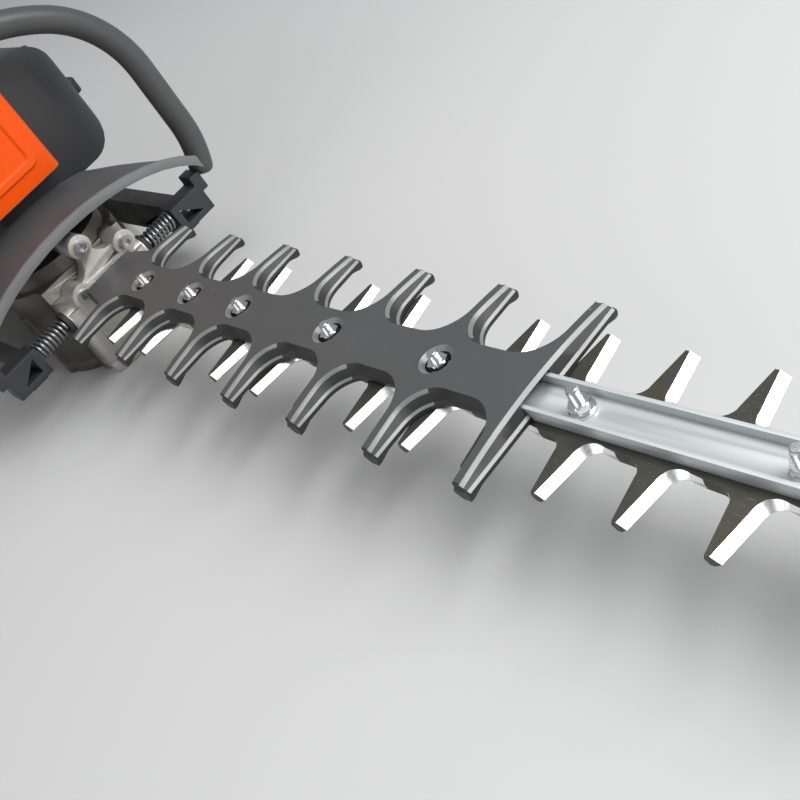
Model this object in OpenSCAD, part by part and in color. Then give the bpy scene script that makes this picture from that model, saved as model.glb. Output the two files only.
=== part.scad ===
// Engine hedge trimmer with a double-sided cutter. X runs along the blades towards their tip,
// Y runs across, and Z is up. The origin is the centre of the flat sole that it stands on.

/* [Cutter] */
// Distance between neighbouring teeth on one side
tooth_pitch = 35; // [34.8:0.1:35.2]
// Height of the plane where the two blades meet, above the sole
shear_z = 45; // [44.9:0.05:45.1]
// Thickness of each blade
blade_t = 2.5; // [2.3:0.1:2.6]
// Distance from the centreline to the tip of a tooth
tooth_reach = 35; // [34:0.5:35.5]
// Half the width of the blade's spine between teeth
spine_half = 11.5; // [11:0.1:12]
// X of the rounded front end of the blades
blade_end_x = 715; // [713:1:718]
// Throw of the two eccentrics, half of each blade's stroke
throw = 8.75; // [8.5:0.05:8.75]

/* [Guide bar] */
// Half the width of the aluminium channel
channel_half = 8.6; // [8.4:0.1:8.8]
// Height of the channel's side flanges
channel_h = 6; // [5.5:0.1:6.5]
// Diameter of the guide bolts
bolt_d = 5; // [4.8:0.1:5]

/* [Tooth guard] */
// Number of tines on each side of the tooth guard
tines = 7; // [5:1:7]
// Width of one tine along the blade
tine_w = 8.5; // [7:0.5:9]
// Distance from the centreline to the end of a tine
tine_reach = 45.5; // [44:0.5:47]

/* [Front handle] */
// Diameter of the loop handle's tube
loop_d = 15; // [14:0.5:17]
// X of the plane of the loop handle
loop_x = 84; // [82:1:86]

/* [Engine] */
// Radius of the flywheel and its fan
flywheel_r = 36; // [33:0.5:36.5]
// Radius of the cylinder's cooling fins
fin_r = 30; // [27:1:30]
// Radius of the piston
piston_r = 16; // [14:0.5:16]

/* [Hidden] */
$fn = 48;
EPS = 0.02;

// Places that several pieces share
crank_at = [44, 0];
gear_module = 1.25;
gear_teeth = 54;
pinion_teeth = 12;
gear_distance = gear_module * (gear_teeth + pinion_teeth) / 2;
gear_angle = 147;
engine_at = [crank_at[0] + gear_distance * cos(gear_angle), gear_distance * sin(gear_angle)];
stroke = 2 * throw;
run_gap = 0.05;
near_tooth_x = 155;
teeth = 16;
bolt_x = [151.5, 201.5, 248, 320, 391, 463, 549, 634, 690];
nose_bolts = 2;
lower_z = shear_z - run_gap - blade_t;
upper_z = shear_z + run_gap;
washer_top = lower_z - 0.1;
channel_z = upper_z + blade_t + 0.1;
channel_t = 1.8;
nose_z = 37;
comb_bolts = 5;
comb_pad_z = channel_z + channel_t + 2;
cyl_z = 108;

// Points of an arc about c, from angle a0 to angle a1
function arc(r, a0, a1, n, c = [0, 0]) =
    [for (i = [0:n]) let (a = a0 + (a1 - a0) * i / n) [c[0] + r * cos(a), c[1] + r * sin(a)]];

function flip(pts) = [for (i = [len(pts) - 1:-1:0]) pts[i]];

function mirror_x(pts) = [for (p = pts) [-p[0], p[1]]];

function mirror_y(pts) = [for (p = pts) [p[0], -p[1]]];

// Direction of a path at point i
function heading(path, i) =
    let (a = path[max(i - 1, 0)], b = path[min(i + 1, len(path) - 1)], d = b - a) d / norm(d);

// Ring of points round a path at point i, for a path that never runs along "side"
function ring(path, i, r, n, side) =
    let (t = heading(path, i), u = cross(side, t) / norm(cross(side, t)), v = cross(t, u))
    [for (k = [0:n - 1]) path[i] + r * (cos(360 * k / n) * u + sin(360 * k / n) * v)];

// Round tube along a path of points
module sweep(path, r, n, side) {
    last = len(path) - 1;
    points = [for (i = [0:last]) each ring(path, i, r, n, side)];
    start = [for (k = [0:n - 1]) k];
    finish = [for (k = [n - 1:-1:0]) last * n + k];
    walls = [for (i = [0:last - 1], k = [0:n - 1])
        [i * n + k, (i + 1) * n + k, (i + 1) * n + (k + 1) % n, i * n + (k + 1) % n]];
    polyhedron(points, concat([start], walls, [finish]), 4);
}

// Slab with rounded vertical edges, from corner a to corner b
module round_slab(a, b, r) {
    s = b - a;
    translate(a) linear_extrude(s[2])
        polygon(concat(
            arc(r, 180, 270, 6, [r, r]), arc(r, 270, 360, 6, [s[0] - r, r]),
            arc(r, 0, 90, 6, [s[0] - r, s[1] - r]), arc(r, 90, 180, 6, [r, s[1] - r])));
}

// Cylinder along Y from y0 to y1
module bar_y(x, z, r, y0, y1) {
    translate([x, y0, z]) rotate([-90, 0, 0]) cylinder(r = r, h = y1 - y0);
}

// Cylinder along X from x0 to x1
module bar_x(y, z, r, x0, x1) {
    translate([x0, y, z]) rotate([0, 90, 0]) cylinder(r = r, h = x1 - x0);
}

// Upright plate with an outline in X and Z, from y0 to y1
module plate_xz(pts, y0, y1) {
    translate([0, y1, 0]) rotate([90, 0, 0]) linear_extrude(y1 - y0) polygon(pts);
}

// Upright plate with an outline in Y and Z, from x0 to x1
module plate_yz(pts, x0, x1) {
    translate([x0, 0, 0]) rotate([90, 0, 90]) linear_extrude(x1 - x0) polygon(pts);
}

/* Cutter */

tooth_tip_w = 6.4;
tooth_taper = 2.9;
root_r = 6;
far_stagger = tooth_pitch / 2;

// Outline of one tooth pointing to +Y, in order of X, with its front tip corner at x
function tooth(x) =
    let (root_y = spine_half + root_r)
    concat(
        arc(root_r, 270, 360, 5, [x - tooth_tip_w - tooth_taper - root_r, root_y]),
        [[x - tooth_tip_w, tooth_reach], [x, tooth_reach]],
        arc(root_r, 180, 270, 5, [x + tooth_taper + root_r, root_y]));

// Outline of a whole blade whose yoke is centred at yoke_x
function blade_outline(yoke_x) =
    let (
        neck = [[yoke_x - 22, 29], [yoke_x + 22, 29], [yoke_x + 22, 9], [96, 9],
            [100, spine_half]],
        far = [for (i = [0:teeth - 1])
            each tooth(near_tooth_x + far_stagger + i * tooth_pitch)],
        near = [for (i = [0:teeth - 1]) each tooth(near_tooth_x + i * tooth_pitch)],
        tip = arc(8, 90, 0, 5, [blade_end_x - 8, spine_half - 8]))
    concat(neck, far, tip, flip(mirror_y(concat(neck, near, tip))));

// Window that the eccentric turns in: it gives the stroke along X and runs free along Y
eccentric_r = 15;
yoke_half_x = eccentric_r + 2.15;
yoke_half_y = eccentric_r + throw + 0.4;

bush_r = 4;
slot_r = bush_r + 0.3;

// Slot for a guide bush, which lets the blade move by its stroke towards dir
module bolt_slot(x, dir) {
    reach = stroke + 0.5;
    x0 = dir > 0 ? x - 0.5 : x - reach;
    x1 = dir > 0 ? x + reach : x + 0.5;
    translate([0, 0, -1]) linear_extrude(blade_t + 2)
        polygon(concat(arc(slot_r, 90, 270, 8, [x0, 0]), arc(slot_r, -90, 90, 8, [x1, 0])));
}

// Ground edge along the straight flanks of one tooth
module flank_bevels(x) {
    length = tooth_reach - spine_half - root_r + 2;
    lean = atan(tooth_taper / (tooth_reach - spine_half - root_r));
    translate([x, tooth_reach + 1, 0]) rotate([90, 0, 0]) rotate([0, lean, 0])
        linear_extrude(length) polygon([[EPS, 0], [-3, blade_t + EPS], [2, blade_t + EPS]]);
    translate([x - tooth_tip_w, tooth_reach + 1, 0]) rotate([90, 0, 0]) rotate([0, -lean, 0])
        linear_extrude(length) polygon([[-EPS, 0], [1.2, blade_t + EPS], [-2, blade_t + EPS]]);
}

// Blade lying on z = 0 with its bevels on top
module blade(yoke_x, slot_dir) {
    difference() {
        linear_extrude(blade_t) polygon(blade_outline(yoke_x));
        translate([yoke_x - yoke_half_x, -yoke_half_y, -1])
            cube([2 * yoke_half_x, 2 * yoke_half_y, blade_t + 2]);
        for (x = bolt_x) bolt_slot(x, slot_dir);
        for (i = [0:teeth - 1]) {
            flank_bevels(near_tooth_x + far_stagger + i * tooth_pitch);
            mirror([0, 1, 0]) flank_bevels(near_tooth_x + i * tooth_pitch);
        }
    }
}

module blade_upper() {
    color([0.30, 0.30, 0.27]) translate([0, 0, upper_z]) blade(crank_at[0] + throw, 1);
}

module blade_lower() {
    color([0.30, 0.30, 0.27]) translate([0, 0, lower_z + blade_t]) mirror([0, 0, 1])
        blade(crank_at[0] - throw, -1);
}

/* Guide bar */

channel_x0 = 99;
channel_x1 = 711;

module guide_channel() {
    top = channel_z + channel_h;
    wall = 1.6;
    color([0.74, 0.77, 0.78]) difference() {
        plate_yz([
            [-channel_half, channel_z], [channel_half, channel_z], [channel_half, top],
            [channel_half - wall, top], [channel_half - wall, channel_z + channel_t],
            [wall - channel_half, channel_z + channel_t], [wall - channel_half, top],
            [-channel_half, top]], channel_x0, channel_x1);
        for (x = bolt_x) translate([x, 0, channel_z - 1]) cylinder(d = bolt_d + 0.4, h = 4);
    }
}

washer_t = 1.5;
head_h = 3.5;
bolt_top = shear_z + 15.5;

function head_top(i) = i < nose_bolts ? nose_z : washer_top - washer_t;

module guide_bolts() {
    color([0.86, 0.87, 0.88]) for (i = [0:len(bolt_x) - 1]) translate([bolt_x[i], 0, 0]) {
        translate([0, 0, head_top(i) - head_h]) cylinder(r = 4.62, h = head_h, $fn = 6);
        translate([0, 0, head_top(i) - 1]) cylinder(d = bolt_d, h = bolt_top - head_top(i) + 1);
    }
}

// Nuts clamp the tooth guard near the engine, and the bare channel beyond it
function nut_z(i) = i < comb_bolts ? comb_pad_z : channel_z + channel_t;

module guide_nuts() {
    color([0.86, 0.87, 0.88]) for (i = [0:len(bolt_x) - 1])
        translate([bolt_x[i], 0, nut_z(i)]) difference() {
            union() {
                cylinder(r = 5.2, h = 1);
                cylinder(r = 4.62, h = 4.6, $fn = 6);
            }
            translate([0, 0, -1]) cylinder(d = bolt_d + 0.06, h = 8);
        }
}

module guide_bushes() {
    color([0.6, 0.6, 0.6]) for (i = [0:len(bolt_x) - 1]) translate([bolt_x[i], 0, washer_top])
        difference() {
            cylinder(r = bush_r, h = channel_z - washer_top);
            translate([0, 0, -1]) cylinder(d = bolt_d + 0.1, h = 9);
        }
}

module guide_washers() {
    color([0.7, 0.7, 0.7]) for (i = [nose_bolts:len(bolt_x) - 1])
        translate([bolt_x[i], 0, washer_top - washer_t]) difference() {
            cylinder(r = 9, h = washer_t);
            translate([0, 0, -1]) cylinder(d = bolt_d + 0.2, h = 4);
        }
}

/* Tooth guard */

tine_step = 51.4;
tine_last_x = 441;
tine0_x = tine_last_x - (tines - 1) * tine_step;
comb_x0 = 106;
comb_half = 13;
fang_z = shear_z + 0.4;
comb_top = shear_z + 11.5;
comb_end_top = shear_z + 7.7;
recess_r = 5.75;

// Top of the crowned tooth guard at distance y from the centreline
function comb_z(y) = comb_top - (comb_top - comb_end_top) * pow(y / tine_reach, 2);

// Plan outline of the tooth guard's +Y half, from its rear end to its front end
function comb_plan() =
    let (
        gap_r = 15,
        half = tine_w / 2,
        gap = function (x) concat(
            arc(gap_r, 180, 270, 5, [x + half + gap_r, comb_half + gap_r]),
            arc(gap_r, 270, 360, 5, [x + tine_step - half - gap_r, comb_half + gap_r])))
    concat(
        [[comb_x0, 0], [comb_x0, comb_half + 4], [tine0_x - half, comb_half + 9]],
        [for (i = [0:tines - 1]) let (x = tine0_x + i * tine_step) each concat(
            [[x - half, tine_reach], [x + half, tine_reach]],
            i < tines - 1 ? gap(x) : [])],
        [[tine_last_x + half, 0]]);

module comb_half_plan() {
    linear_extrude(80) polygon(comb_plan());
}

// Fangs that hang from the ends of the tines, beyond the tips of the teeth
module comb_fangs(floor_z) {
    half = tine_w / 2;
    hook = tooth_reach + 1.5;
    side = [[hook, floor_z + 1], [hook, floor_z], [tine_reach - 2, fang_z], [tine_reach, fang_z],
        [tine_reach, floor_z + 1]];
    intersection() {
        union() {
            plate_yz(side, tine0_x - 20, tine_last_x + 20);
            plate_yz(mirror_x(side), tine0_x - 20, tine_last_x + 20);
        }
        union() for (i = [0:tines - 1]) let (x = tine0_x + i * tine_step)
            plate_xz([[x - half, floor_z + 2], [x - half, floor_z], [x - 0.5, fang_z - 1],
                [x + 2.5, fang_z - 1], [x + half, floor_z], [x + half, floor_z + 2]],
                -tine_reach - 1, tine_reach + 1);
    }
}

module tooth_guard() {
    floor_z = upper_z + blade_t + 0.5;
    steps = 12;
    crown = [for (i = [-steps:steps]) let (y = tine_reach * i / steps) [y, comb_z(y)]];
    color([0.27, 0.28, 0.29]) difference() {
        union() {
            intersection() {
                union() {
                    comb_half_plan();
                    mirror([0, 1, 0]) comb_half_plan();
                }
                plate_yz(concat(crown, [[tine_reach, floor_z], [-tine_reach, floor_z]]),
                    90, tine_last_x + 20);
            }
            comb_fangs(floor_z);
        }
        difference() {
            translate([80, -channel_half - 0.15, floor_z - 1])
                cube([400, 2 * channel_half + 0.3, channel_z + channel_h + 1.3 - floor_z]);
            for (i = [0:comb_bolts - 1]) translate([bolt_x[i], 0, channel_z + channel_t])
                cylinder(r = 6.7, h = 20);
        }
        for (i = [0:comb_bolts - 1]) translate([bolt_x[i], 0, 0]) {
            translate([0, 0, comb_pad_z]) cylinder(r = recess_r, h = 20);
            translate([0, 0, comb_top - 1.8]) cylinder(r1 = recess_r, r2 = recess_r + 2.5, h = 2.4);
            translate([0, 0, 30]) cylinder(d = bolt_d + 0.4, h = 30);
        }
    }
}

/* Gearbox */

box_half = 31;
box_front = 97;
box_rear = -12;
roof_z = 71;
ring_r = 41;
cover_top = 7;
bearing_r = 11;
bearing_h = 7;
journal_r = 4;
gear_z = 51;
gear_h = 8;
chamber_x1 = 80;
nose_half = 22;
nose_top = 54;
shoulder_z = roof_z - 9;
chamber_r = 36;
pinion_boss_r = 19;
screw_boss_r = 6;

// Springs between the gearbox's flanks and the handle frame, with a rubber cup at their inner ends
spring_x = 86;
spring_z = shear_z - 3;
spring_out = 57;
cup_h = 3;

// Plan of the gearbox casting, without its nose
module gearbox_plan() {
    translate(crank_at) circle(r = ring_r);
    translate(engine_at) circle(r = pinion_boss_r);
    polygon([[crank_at[0], -box_half], [chamber_x1, -box_half], [box_front, -nose_half],
        [box_front, nose_half], [chamber_x1, box_half], [crank_at[0], box_half]]);
    translate([box_rear, -box_half + 3]) square([crank_at[0] - box_rear, 2 * box_half - 6]);
}

screw_spots = [
    [crank_at[0] + 46, box_half - 6], [crank_at[0] + 46, 6 - box_half],
    [crank_at[0] + 2, -37], [crank_at[0] - 30, -22], [crank_at[0] + 2, 37], [-3, 34]
];

// Y and Z of the three screw bosses on the front, which a web with hollowed edges ties together
front_bosses = [[0, shear_z + 28], [22, shear_z + 12], [-16.5, shear_z + 6]];
boss_r = 7;
boss_l = 25;
web_t = 9;

module front_web() {
    translate([box_front - web_t - 3, 0, 0]) rotate([90, 0, 90]) linear_extrude(web_t) difference() {
        polygon(concat([[-20, shear_z], [28, shear_z]], [for (b = flip(front_bosses)) b]));
        for (k = [1:2]) let (
            a = front_bosses[0], b = front_bosses[k], d = (b - a) / norm(b - a),
            out = k == 1 ? [-d[1], d[0]] : [d[1], -d[0]])
            translate((a + b) / 2 + 9 * out) circle(r = 12);
    }
}

module gearbox_housing() {
    nose_end = bolt_x[nose_bolts - 1] + 12;
    color([0.72, 0.71, 0.68]) difference() {
        union() {
            translate([0, 0, cover_top]) linear_extrude(nose_top - cover_top) gearbox_plan();
            translate([0, 0, cover_top]) linear_extrude(shoulder_z - cover_top) intersection() {
                gearbox_plan();
                translate([-30, -50]) square([chamber_x1 + 30, 100]);
            }
            translate([crank_at[0], crank_at[1], cover_top])
                cylinder(r = chamber_r, h = roof_z - cover_top);
            translate([engine_at[0], engine_at[1], cover_top])
                cylinder(r = pinion_boss_r, h = roof_z - cover_top);
            for (b = front_bosses) bar_x(b[0], b[1], boss_r, box_front - boss_l, box_front);
            front_web();
            for (s = [-1, 1]) bar_y(spring_x, spring_z, 8, s > 0 ? nose_half : -box_half,
                s > 0 ? box_half : -nose_half);
            translate([box_front - 2, -9, nose_z]) cube([nose_end - box_front + 2, 18,
                washer_top - nose_z]);
            for (p = screw_spots) translate([p[0], p[1], cover_top])
                cylinder(r = screw_boss_r, h = 40);
        }
        // Yoke chamber, gear chamber, pinion pocket and the way out for the blades
        translate([crank_at[0] - 32, -30.2, washer_top - 2])
            cube([64, 60.4, channel_z + 3 - washer_top]);
        translate([crank_at[0], crank_at[1], cover_top - 1]) cylinder(r = 24, h = 50);
        translate([crank_at[0], crank_at[1], gear_z - 1])
            cylinder(r = chamber_r, h = gear_h + 2);
        translate([engine_at[0], engine_at[1], gear_z - 1]) cylinder(r = 10, h = gear_h + 2);
        translate([crank_at[0] + 20, -13, washer_top]) cube([40, 26, channel_z + 1 - washer_top]);
        // Seats and shaft holes of the bearings
        for (c = [crank_at, engine_at]) translate([c[0], c[1], 0]) {
            translate([0, 0, gear_z + gear_h + 2.5]) cylinder(r = bearing_r + 0.02, h = bearing_h);
            translate([0, 0, gear_z]) cylinder(r = 7, h = 14);
        }
        translate([engine_at[0], engine_at[1], gear_z]) cylinder(r = 9.5, h = 30);
        for (i = [0:nose_bolts - 1]) translate([bolt_x[i], 0, nose_z - 1])
            cylinder(d = bolt_d + 0.4, h = 10);
        for (p = screw_spots) translate([p[0], p[1], 0]) cylinder(r = 2.05, h = 30);
        for (b = front_bosses) bar_x(b[0], b[1], 2.05, box_front - 14, box_front + 1);
    }
}

module gearbox_cover() {
    color([0.66, 0.65, 0.62]) difference() {
        union() {
            linear_extrude(cover_top) gearbox_plan();
            translate([crank_at[0], crank_at[1], 0]) cylinder(r = 15, h = 20);
            for (p = screw_spots) translate([p[0], p[1], 0])
                cylinder(r = screw_boss_r, h = cover_top);
        }
        translate([crank_at[0], crank_at[1], 13]) cylinder(r = bearing_r + 0.02, h = 8);
        for (p = screw_spots) translate([p[0], p[1], -1]) {
            cylinder(r = 2.3, h = 10);
            cylinder(r = 4.4, h = 5);
        }
    }
}

module cap_screw(r, shank_r, length) {
    difference() {
        union() {
            cylinder(r = r, h = 3.8);
            translate([0, 0, 1]) cylinder(r = shank_r, h = length);
        }
        translate([0, 0, -1]) cylinder(r = r * 0.5, h = 3, $fn = 6);
    }
}

module gearbox_screws() {
    color([0.3, 0.3, 0.3]) {
        for (p = screw_spots) translate([p[0], p[1], 0.2]) cap_screw(4.2, 2, 22);
        for (b = front_bosses) translate([box_front + 3.8, b[0], b[1]]) rotate([0, -90, 0])
            cap_screw(4.2, 2, 14);
    }
}

// Angle in degrees between the middle and the flank of a gear tooth at radius r
function flank_angle(m, n, r, backlash) =
    let (
        rp = m * n / 2,
        rb = rp * cos(20),
        inv = function (c) tan(acos(c)) * 180 / PI - acos(c))
    90 / n - backlash / rp * 90 / PI + inv(rb / rp) - inv(min(rb / r, 1));

// Outline of a spur gear with n teeth, the first one on +X
function gear_outline(m, n, backlash) =
    let (
        rp = m * n / 2,
        radii = [rp - 1.1 * m, rp * cos(20) + 0.05, rp, rp + 0.8 * m],
        up = [for (r = radii) [r, flank_angle(m, n, r, backlash)]])
    [for (i = [0:n - 1]) each concat(
        [for (p = up) p[0] * [cos(360 * i / n - p[1]), sin(360 * i / n - p[1])]],
        [for (p = flip(up)) p[0] * [cos(360 * i / n + p[1]), sin(360 * i / n + p[1])]])];

module crank_gear() {
    color([0.55, 0.56, 0.58]) translate([crank_at[0], crank_at[1], 0]) {
        translate([throw, 0, upper_z]) cylinder(r = eccentric_r, h = blade_t);
        translate([-throw, 0, lower_z]) cylinder(r = eccentric_r, h = blade_t);
        translate([0, 0, 20.5]) cylinder(r = 6, h = gear_z - 20.5 + 1);
        translate([0, 0, gear_z]) rotate(gear_angle + 180 / gear_teeth) linear_extrude(gear_h)
            polygon(gear_outline(gear_module, gear_teeth, 0.15));
        translate([0, 0, gear_z + gear_h - 1]) cylinder(r = 6, h = 3);
        translate([0, 0, 13.2]) cylinder(r = journal_r, h = 54.5);
    }
}

module bearing(outer, inner, h) {
    difference() {
        cylinder(r = outer, h = h);
        translate([0, 0, -1]) cylinder(r = inner, h = h + 2);
    }
}

module crank_bearings() {
    color([0.8, 0.8, 0.82]) translate([crank_at[0], crank_at[1], 0]) {
        translate([0, 0, 13.05]) bearing(bearing_r, journal_r + 0.03, bearing_h - 0.1);
        translate([0, 0, gear_z + gear_h + 2.55]) bearing(bearing_r, journal_r + 0.03, 6.9);
    }
}

module drum_bearing() {
    color([0.8, 0.8, 0.82]) translate([engine_at[0], engine_at[1], gear_z + gear_h + 2.55])
        bearing(bearing_r, journal_r + 0.03, 6.9);
}

/* Clutch */

drum_z = 73;
drum_r = 27;
drum_h = 15;

module clutch_drum() {
    color([0.5, 0.5, 0.52]) translate([engine_at[0], engine_at[1], 0]) {
        translate([0, 0, gear_z]) rotate(gear_angle + 180) linear_extrude(gear_h)
            polygon(gear_outline(gear_module, pinion_teeth, 0.15));
        translate([0, 0, gear_z + gear_h - 1]) cylinder(r = journal_r, h = drum_z - gear_z - 6);
        translate([0, 0, drum_z - 3]) cylinder(r = 8, h = 4);
        difference() {
            translate([0, 0, drum_z]) cylinder(r = drum_r, h = drum_h);
            translate([0, 0, drum_z + 2]) cylinder(r = drum_r - 1.8, h = drum_h);
        }
    }
}

hub_z = drum_z + 4;
hub_h = 9;
shoe_in = 12;
shoe_out = drum_r - 3.2;

module clutch_hub() {
    color([0.4, 0.4, 0.42]) translate([engine_at[0], engine_at[1], hub_z]) difference() {
        union() {
            cylinder(r = 10, h = hub_h);
            translate([-17, -4, 0]) cube([34, 8, hub_h]);
        }
        translate([0, 0, -1]) cylinder(r = 5.02, h = hub_h + 2);
    }
}

// Weighted shoe on the side of the hub where side is 1 or -1 along Y
module clutch_shoe(side) {
    translate([engine_at[0], engine_at[1], hub_z]) intersection() {
        difference() {
            cylinder(r = shoe_out, h = hub_h);
            translate([0, 0, -1]) cylinder(r = shoe_in, h = hub_h + 2);
        }
        translate([-30, side > 0 ? 5 : -35, 0]) cube([60, 30, hub_h]);
    }
}

module clutch_shoe_left() {
    color([0.35, 0.33, 0.3]) clutch_shoe(1);
}

module clutch_shoe_right() {
    color([0.35, 0.33, 0.3]) clutch_shoe(-1);
}

/* Engine */

case_z0 = 91;
case_z1 = 125;
case_r = 33;
cyl_x0 = -24;
cyl_x1 = -82;
port_reach = fin_r + 0.5;

module at_engine() {
    translate([engine_at[0], engine_at[1], 0]) children();
}

module crankcase() {
    color([0.62, 0.62, 0.61]) difference() {
        union() {
            at_engine() translate([0, 0, case_z0]) cylinder(r = case_r, h = case_z1 - case_z0);
            translate([cyl_x0, engine_at[1] - 27, cyl_z - 16]) cube([16, 54, 32]);
            // Skirt that stands on the gearbox round the clutch
            at_engine() translate([0, 0, roof_z]) difference() {
                cylinder(r = case_r, h = case_z0 - roof_z + 1);
                translate([0, 0, -1]) cylinder(r = drum_r + 2, h = case_z0 - roof_z);
            }
        }
        at_engine() translate([0, 0, case_z0 + 6]) cylinder(r = 25.5, h = 22);
        at_engine() translate([0, 0, case_z0 - 1]) cylinder(r = 7.5, h = 40);
        at_engine() translate([0, 0, case_z0 + 1]) cylinder(r = 13.02, h = 6);
        at_engine() translate([0, 0, case_z1 - 7]) cylinder(r = 13.02, h = 6);
        bar_x(engine_at[1], cyl_z, piston_r + 0.05, cyl_x0 - 1, engine_at[0]);
    }
}

module crankshaft() {
    color([0.6, 0.6, 0.62]) at_engine() {
        translate([0, 0, hub_z - 1]) cylinder(r = 5, h = case_z0 + 8 - hub_z);
        translate([0, 0, case_z0 + 0.5]) cylinder(r = 6, h = 7);
        for (z = [case_z0 + 7, case_z1 - 13]) translate([0, 0, z]) cylinder(r = 24, h = 6);
        translate([-14, 0, case_z0 + 12]) cylinder(r = 4, h = 10);
        translate([0, 0, case_z1 - 8]) cylinder(r = 6, h = 7.5);
        translate([0, 0, case_z1 - 2]) cylinder(r = 5, h = 18);
    }
}

module shaft_bearings() {
    color([0.8, 0.8, 0.82]) at_engine() {
        translate([0, 0, case_z0 + 1.1]) bearing(13, 6.03, 5.4);
        translate([0, 0, case_z1 - 6.6]) bearing(13, 6.03, 5.4);
    }
}

module cylinder_fins() {
    for (i = [0:7]) let (x = cyl_x0 - 15 - 5.4 * i) bar_x(engine_at[1], cyl_z, fin_r, x, x + 2.2);
}

module engine_cylinder() {
    color([0.7, 0.7, 0.69]) difference() {
        union() {
            bar_x(engine_at[1], cyl_z, 18.5, cyl_x1, cyl_x0 - EPS);
            cylinder_fins();
            bar_y(-52, cyl_z, 11, engine_at[1], engine_at[1] + port_reach);
            bar_y(-50, cyl_z, 12, engine_at[1] - port_reach, engine_at[1]);
        }
        bar_x(engine_at[1], cyl_z, piston_r + 0.05, -69, cyl_x0 + 1);
        bar_x(engine_at[1], cyl_z, 5.05, cyl_x1 - 1, -60);
        bar_y(-52, cyl_z, 6, engine_at[1], engine_at[1] + fin_r + 1);
        bar_y(-50, cyl_z, 7, engine_at[1] - fin_r - 1, engine_at[1]);
    }
}

module piston() {
    crown_x = -66;
    skirt_x = crown_x + 22;
    color([0.75, 0.75, 0.76]) difference() {
        bar_x(engine_at[1], cyl_z, piston_r, crown_x, skirt_x);
        bar_x(engine_at[1], cyl_z, piston_r - 3, crown_x + 5, skirt_x + 1);
        bar_y(crown_x + 12, cyl_z, 4, engine_at[1] - 20, engine_at[1] + 20);
        for (i = [0:1]) translate([crown_x + 2.5 + 3 * i, engine_at[1], cyl_z])
            rotate([0, 90, 0]) bearing(piston_r + 1, piston_r - 0.6, 1.2);
    }
}

module spark_plug() {
    color([0.85, 0.85, 0.83]) {
        bar_x(engine_at[1], cyl_z, 5, cyl_x1 - 1, -69.5);
        translate([cyl_x1 - 7.5, engine_at[1], cyl_z]) rotate([0, 90, 0])
            cylinder(r = 8, h = 7.5, $fn = 6);
        bar_x(engine_at[1], cyl_z, 4.2, cyl_x1 - 22, cyl_x1 - 7);
    }
}

module plug_cap() {
    color([0.1, 0.1, 0.1]) difference() {
        bar_x(engine_at[1], cyl_z, 7.5, cyl_x1 - 28, cyl_x1 - 8);
        bar_x(engine_at[1], cyl_z, 4.25, cyl_x1 - 22, cyl_x1 - 7);
    }
}

/* Flywheel and starter */

wheel_z = case_z1 + 2;
post_z = wheel_z + 15;
pulley_r = 22;

module flywheel() {
    color([0.68, 0.68, 0.7]) at_engine() difference() {
        union() {
            translate([0, 0, wheel_z]) cylinder(r = flywheel_r, h = 3);
            translate([0, 0, wheel_z]) cylinder(r = 12, h = 13.5);
            for (a = [0:30:330]) rotate(a) translate([18, -1, wheel_z + 2])
                cube([flywheel_r - 19, 2, 11]);
        }
        translate([0, 0, wheel_z - 1]) cylinder(r = 5.02, h = 16);
    }
}

module ignition_module() {
    y0 = engine_at[1] + flywheel_r + 1;
    color([0.12, 0.12, 0.13]) {
        translate([engine_at[0] - 15, y0, wheel_z]) cube([30, 14, 13]);
        for (x = [-12, 8]) translate([engine_at[0] + x, y0 - 5, wheel_z - 8]) cube([4, 9, 7.5]);
        for (x = [-12, 8]) translate([engine_at[0] + x, y0 + 1, wheel_z - 1]) cube([4, 3, 2]);
    }
}

module starter_pulley() {
    color([0.15, 0.15, 0.15]) at_engine() translate([0, 0, post_z + 0.2]) difference() {
        cylinder(r = pulley_r, h = 6);
        translate([0, 0, -1]) cylinder(r = 5.55, h = 8);
        translate([0, 0, 1.5]) bearing(pulley_r + 1, pulley_r - 6, 3);
    }
}

module recoil_spring() {
    color([0.5, 0.52, 0.6]) at_engine() translate([0, 0, post_z + 6.6]) bearing(20, 8, 3.2);
}

fan_x0 = -34.5;
fan_x1 = 49.5;
fan_y0 = -22;
fan_y1 = 79;
fan_z0 = 86;
fan_z1 = 165;
fan_wall = 2.5;
fan_round = 30;
fan_low_round = 23;

// Solid of the fan housing's outside, or of its hollow with inset set to the wall
module fan_block(inset) {
    top = [fan_y1 - fan_round, fan_z1 - fan_round];
    low = [fan_y1 - fan_low_round, fan_z0 + fan_low_round];
    intersection() {
        plate_yz(concat([[fan_y0 + inset, fan_z0 - inset], [low[0], fan_z0 - inset]],
            arc(fan_low_round - inset, -90, 0, 8, low), arc(fan_round - inset, 0, 90, 10, top),
            [[fan_y0 + inset, fan_z1 - inset]]),
            fan_x0 + inset, fan_x1 - inset);
        round_slab([fan_x0 + inset, fan_y0 + inset, fan_z0 - 5],
            [fan_x1 - inset, fan_y1 - inset, fan_z1 + 5], 22 - inset);
    }
}

module fan_housing() {
    lug_x = engine_at[0] - 5;
    lug_z = case_z0 + 6;
    color([0.20, 0.21, 0.22]) {
        difference() {
            fan_block(0);
            fan_block(fan_wall);
            for (i = [0:6]) translate([fan_x0 + 20 + 8 * i, 42, fan_z1 - 18])
                cube([3.2, 30, 30]);
            translate([fan_x0 - 1, engine_at[1] - 31, fan_z0 - 1])
                cube([10, 62, cyl_z + 21 - fan_z0]);
        }
        at_engine() translate([0, 0, post_z]) cylinder(r = 5.5, h = fan_z1 - 1 - post_z);
        translate([lug_x, engine_at[1] + case_r, lug_z])
            cube([10, fan_y1 - 5 - engine_at[1] - case_r, 8]);
        translate([lug_x, fan_y0 + 1, lug_z]) cube([10, engine_at[1] - case_r - fan_y0 - 1, 8]);
    }
}

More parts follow.
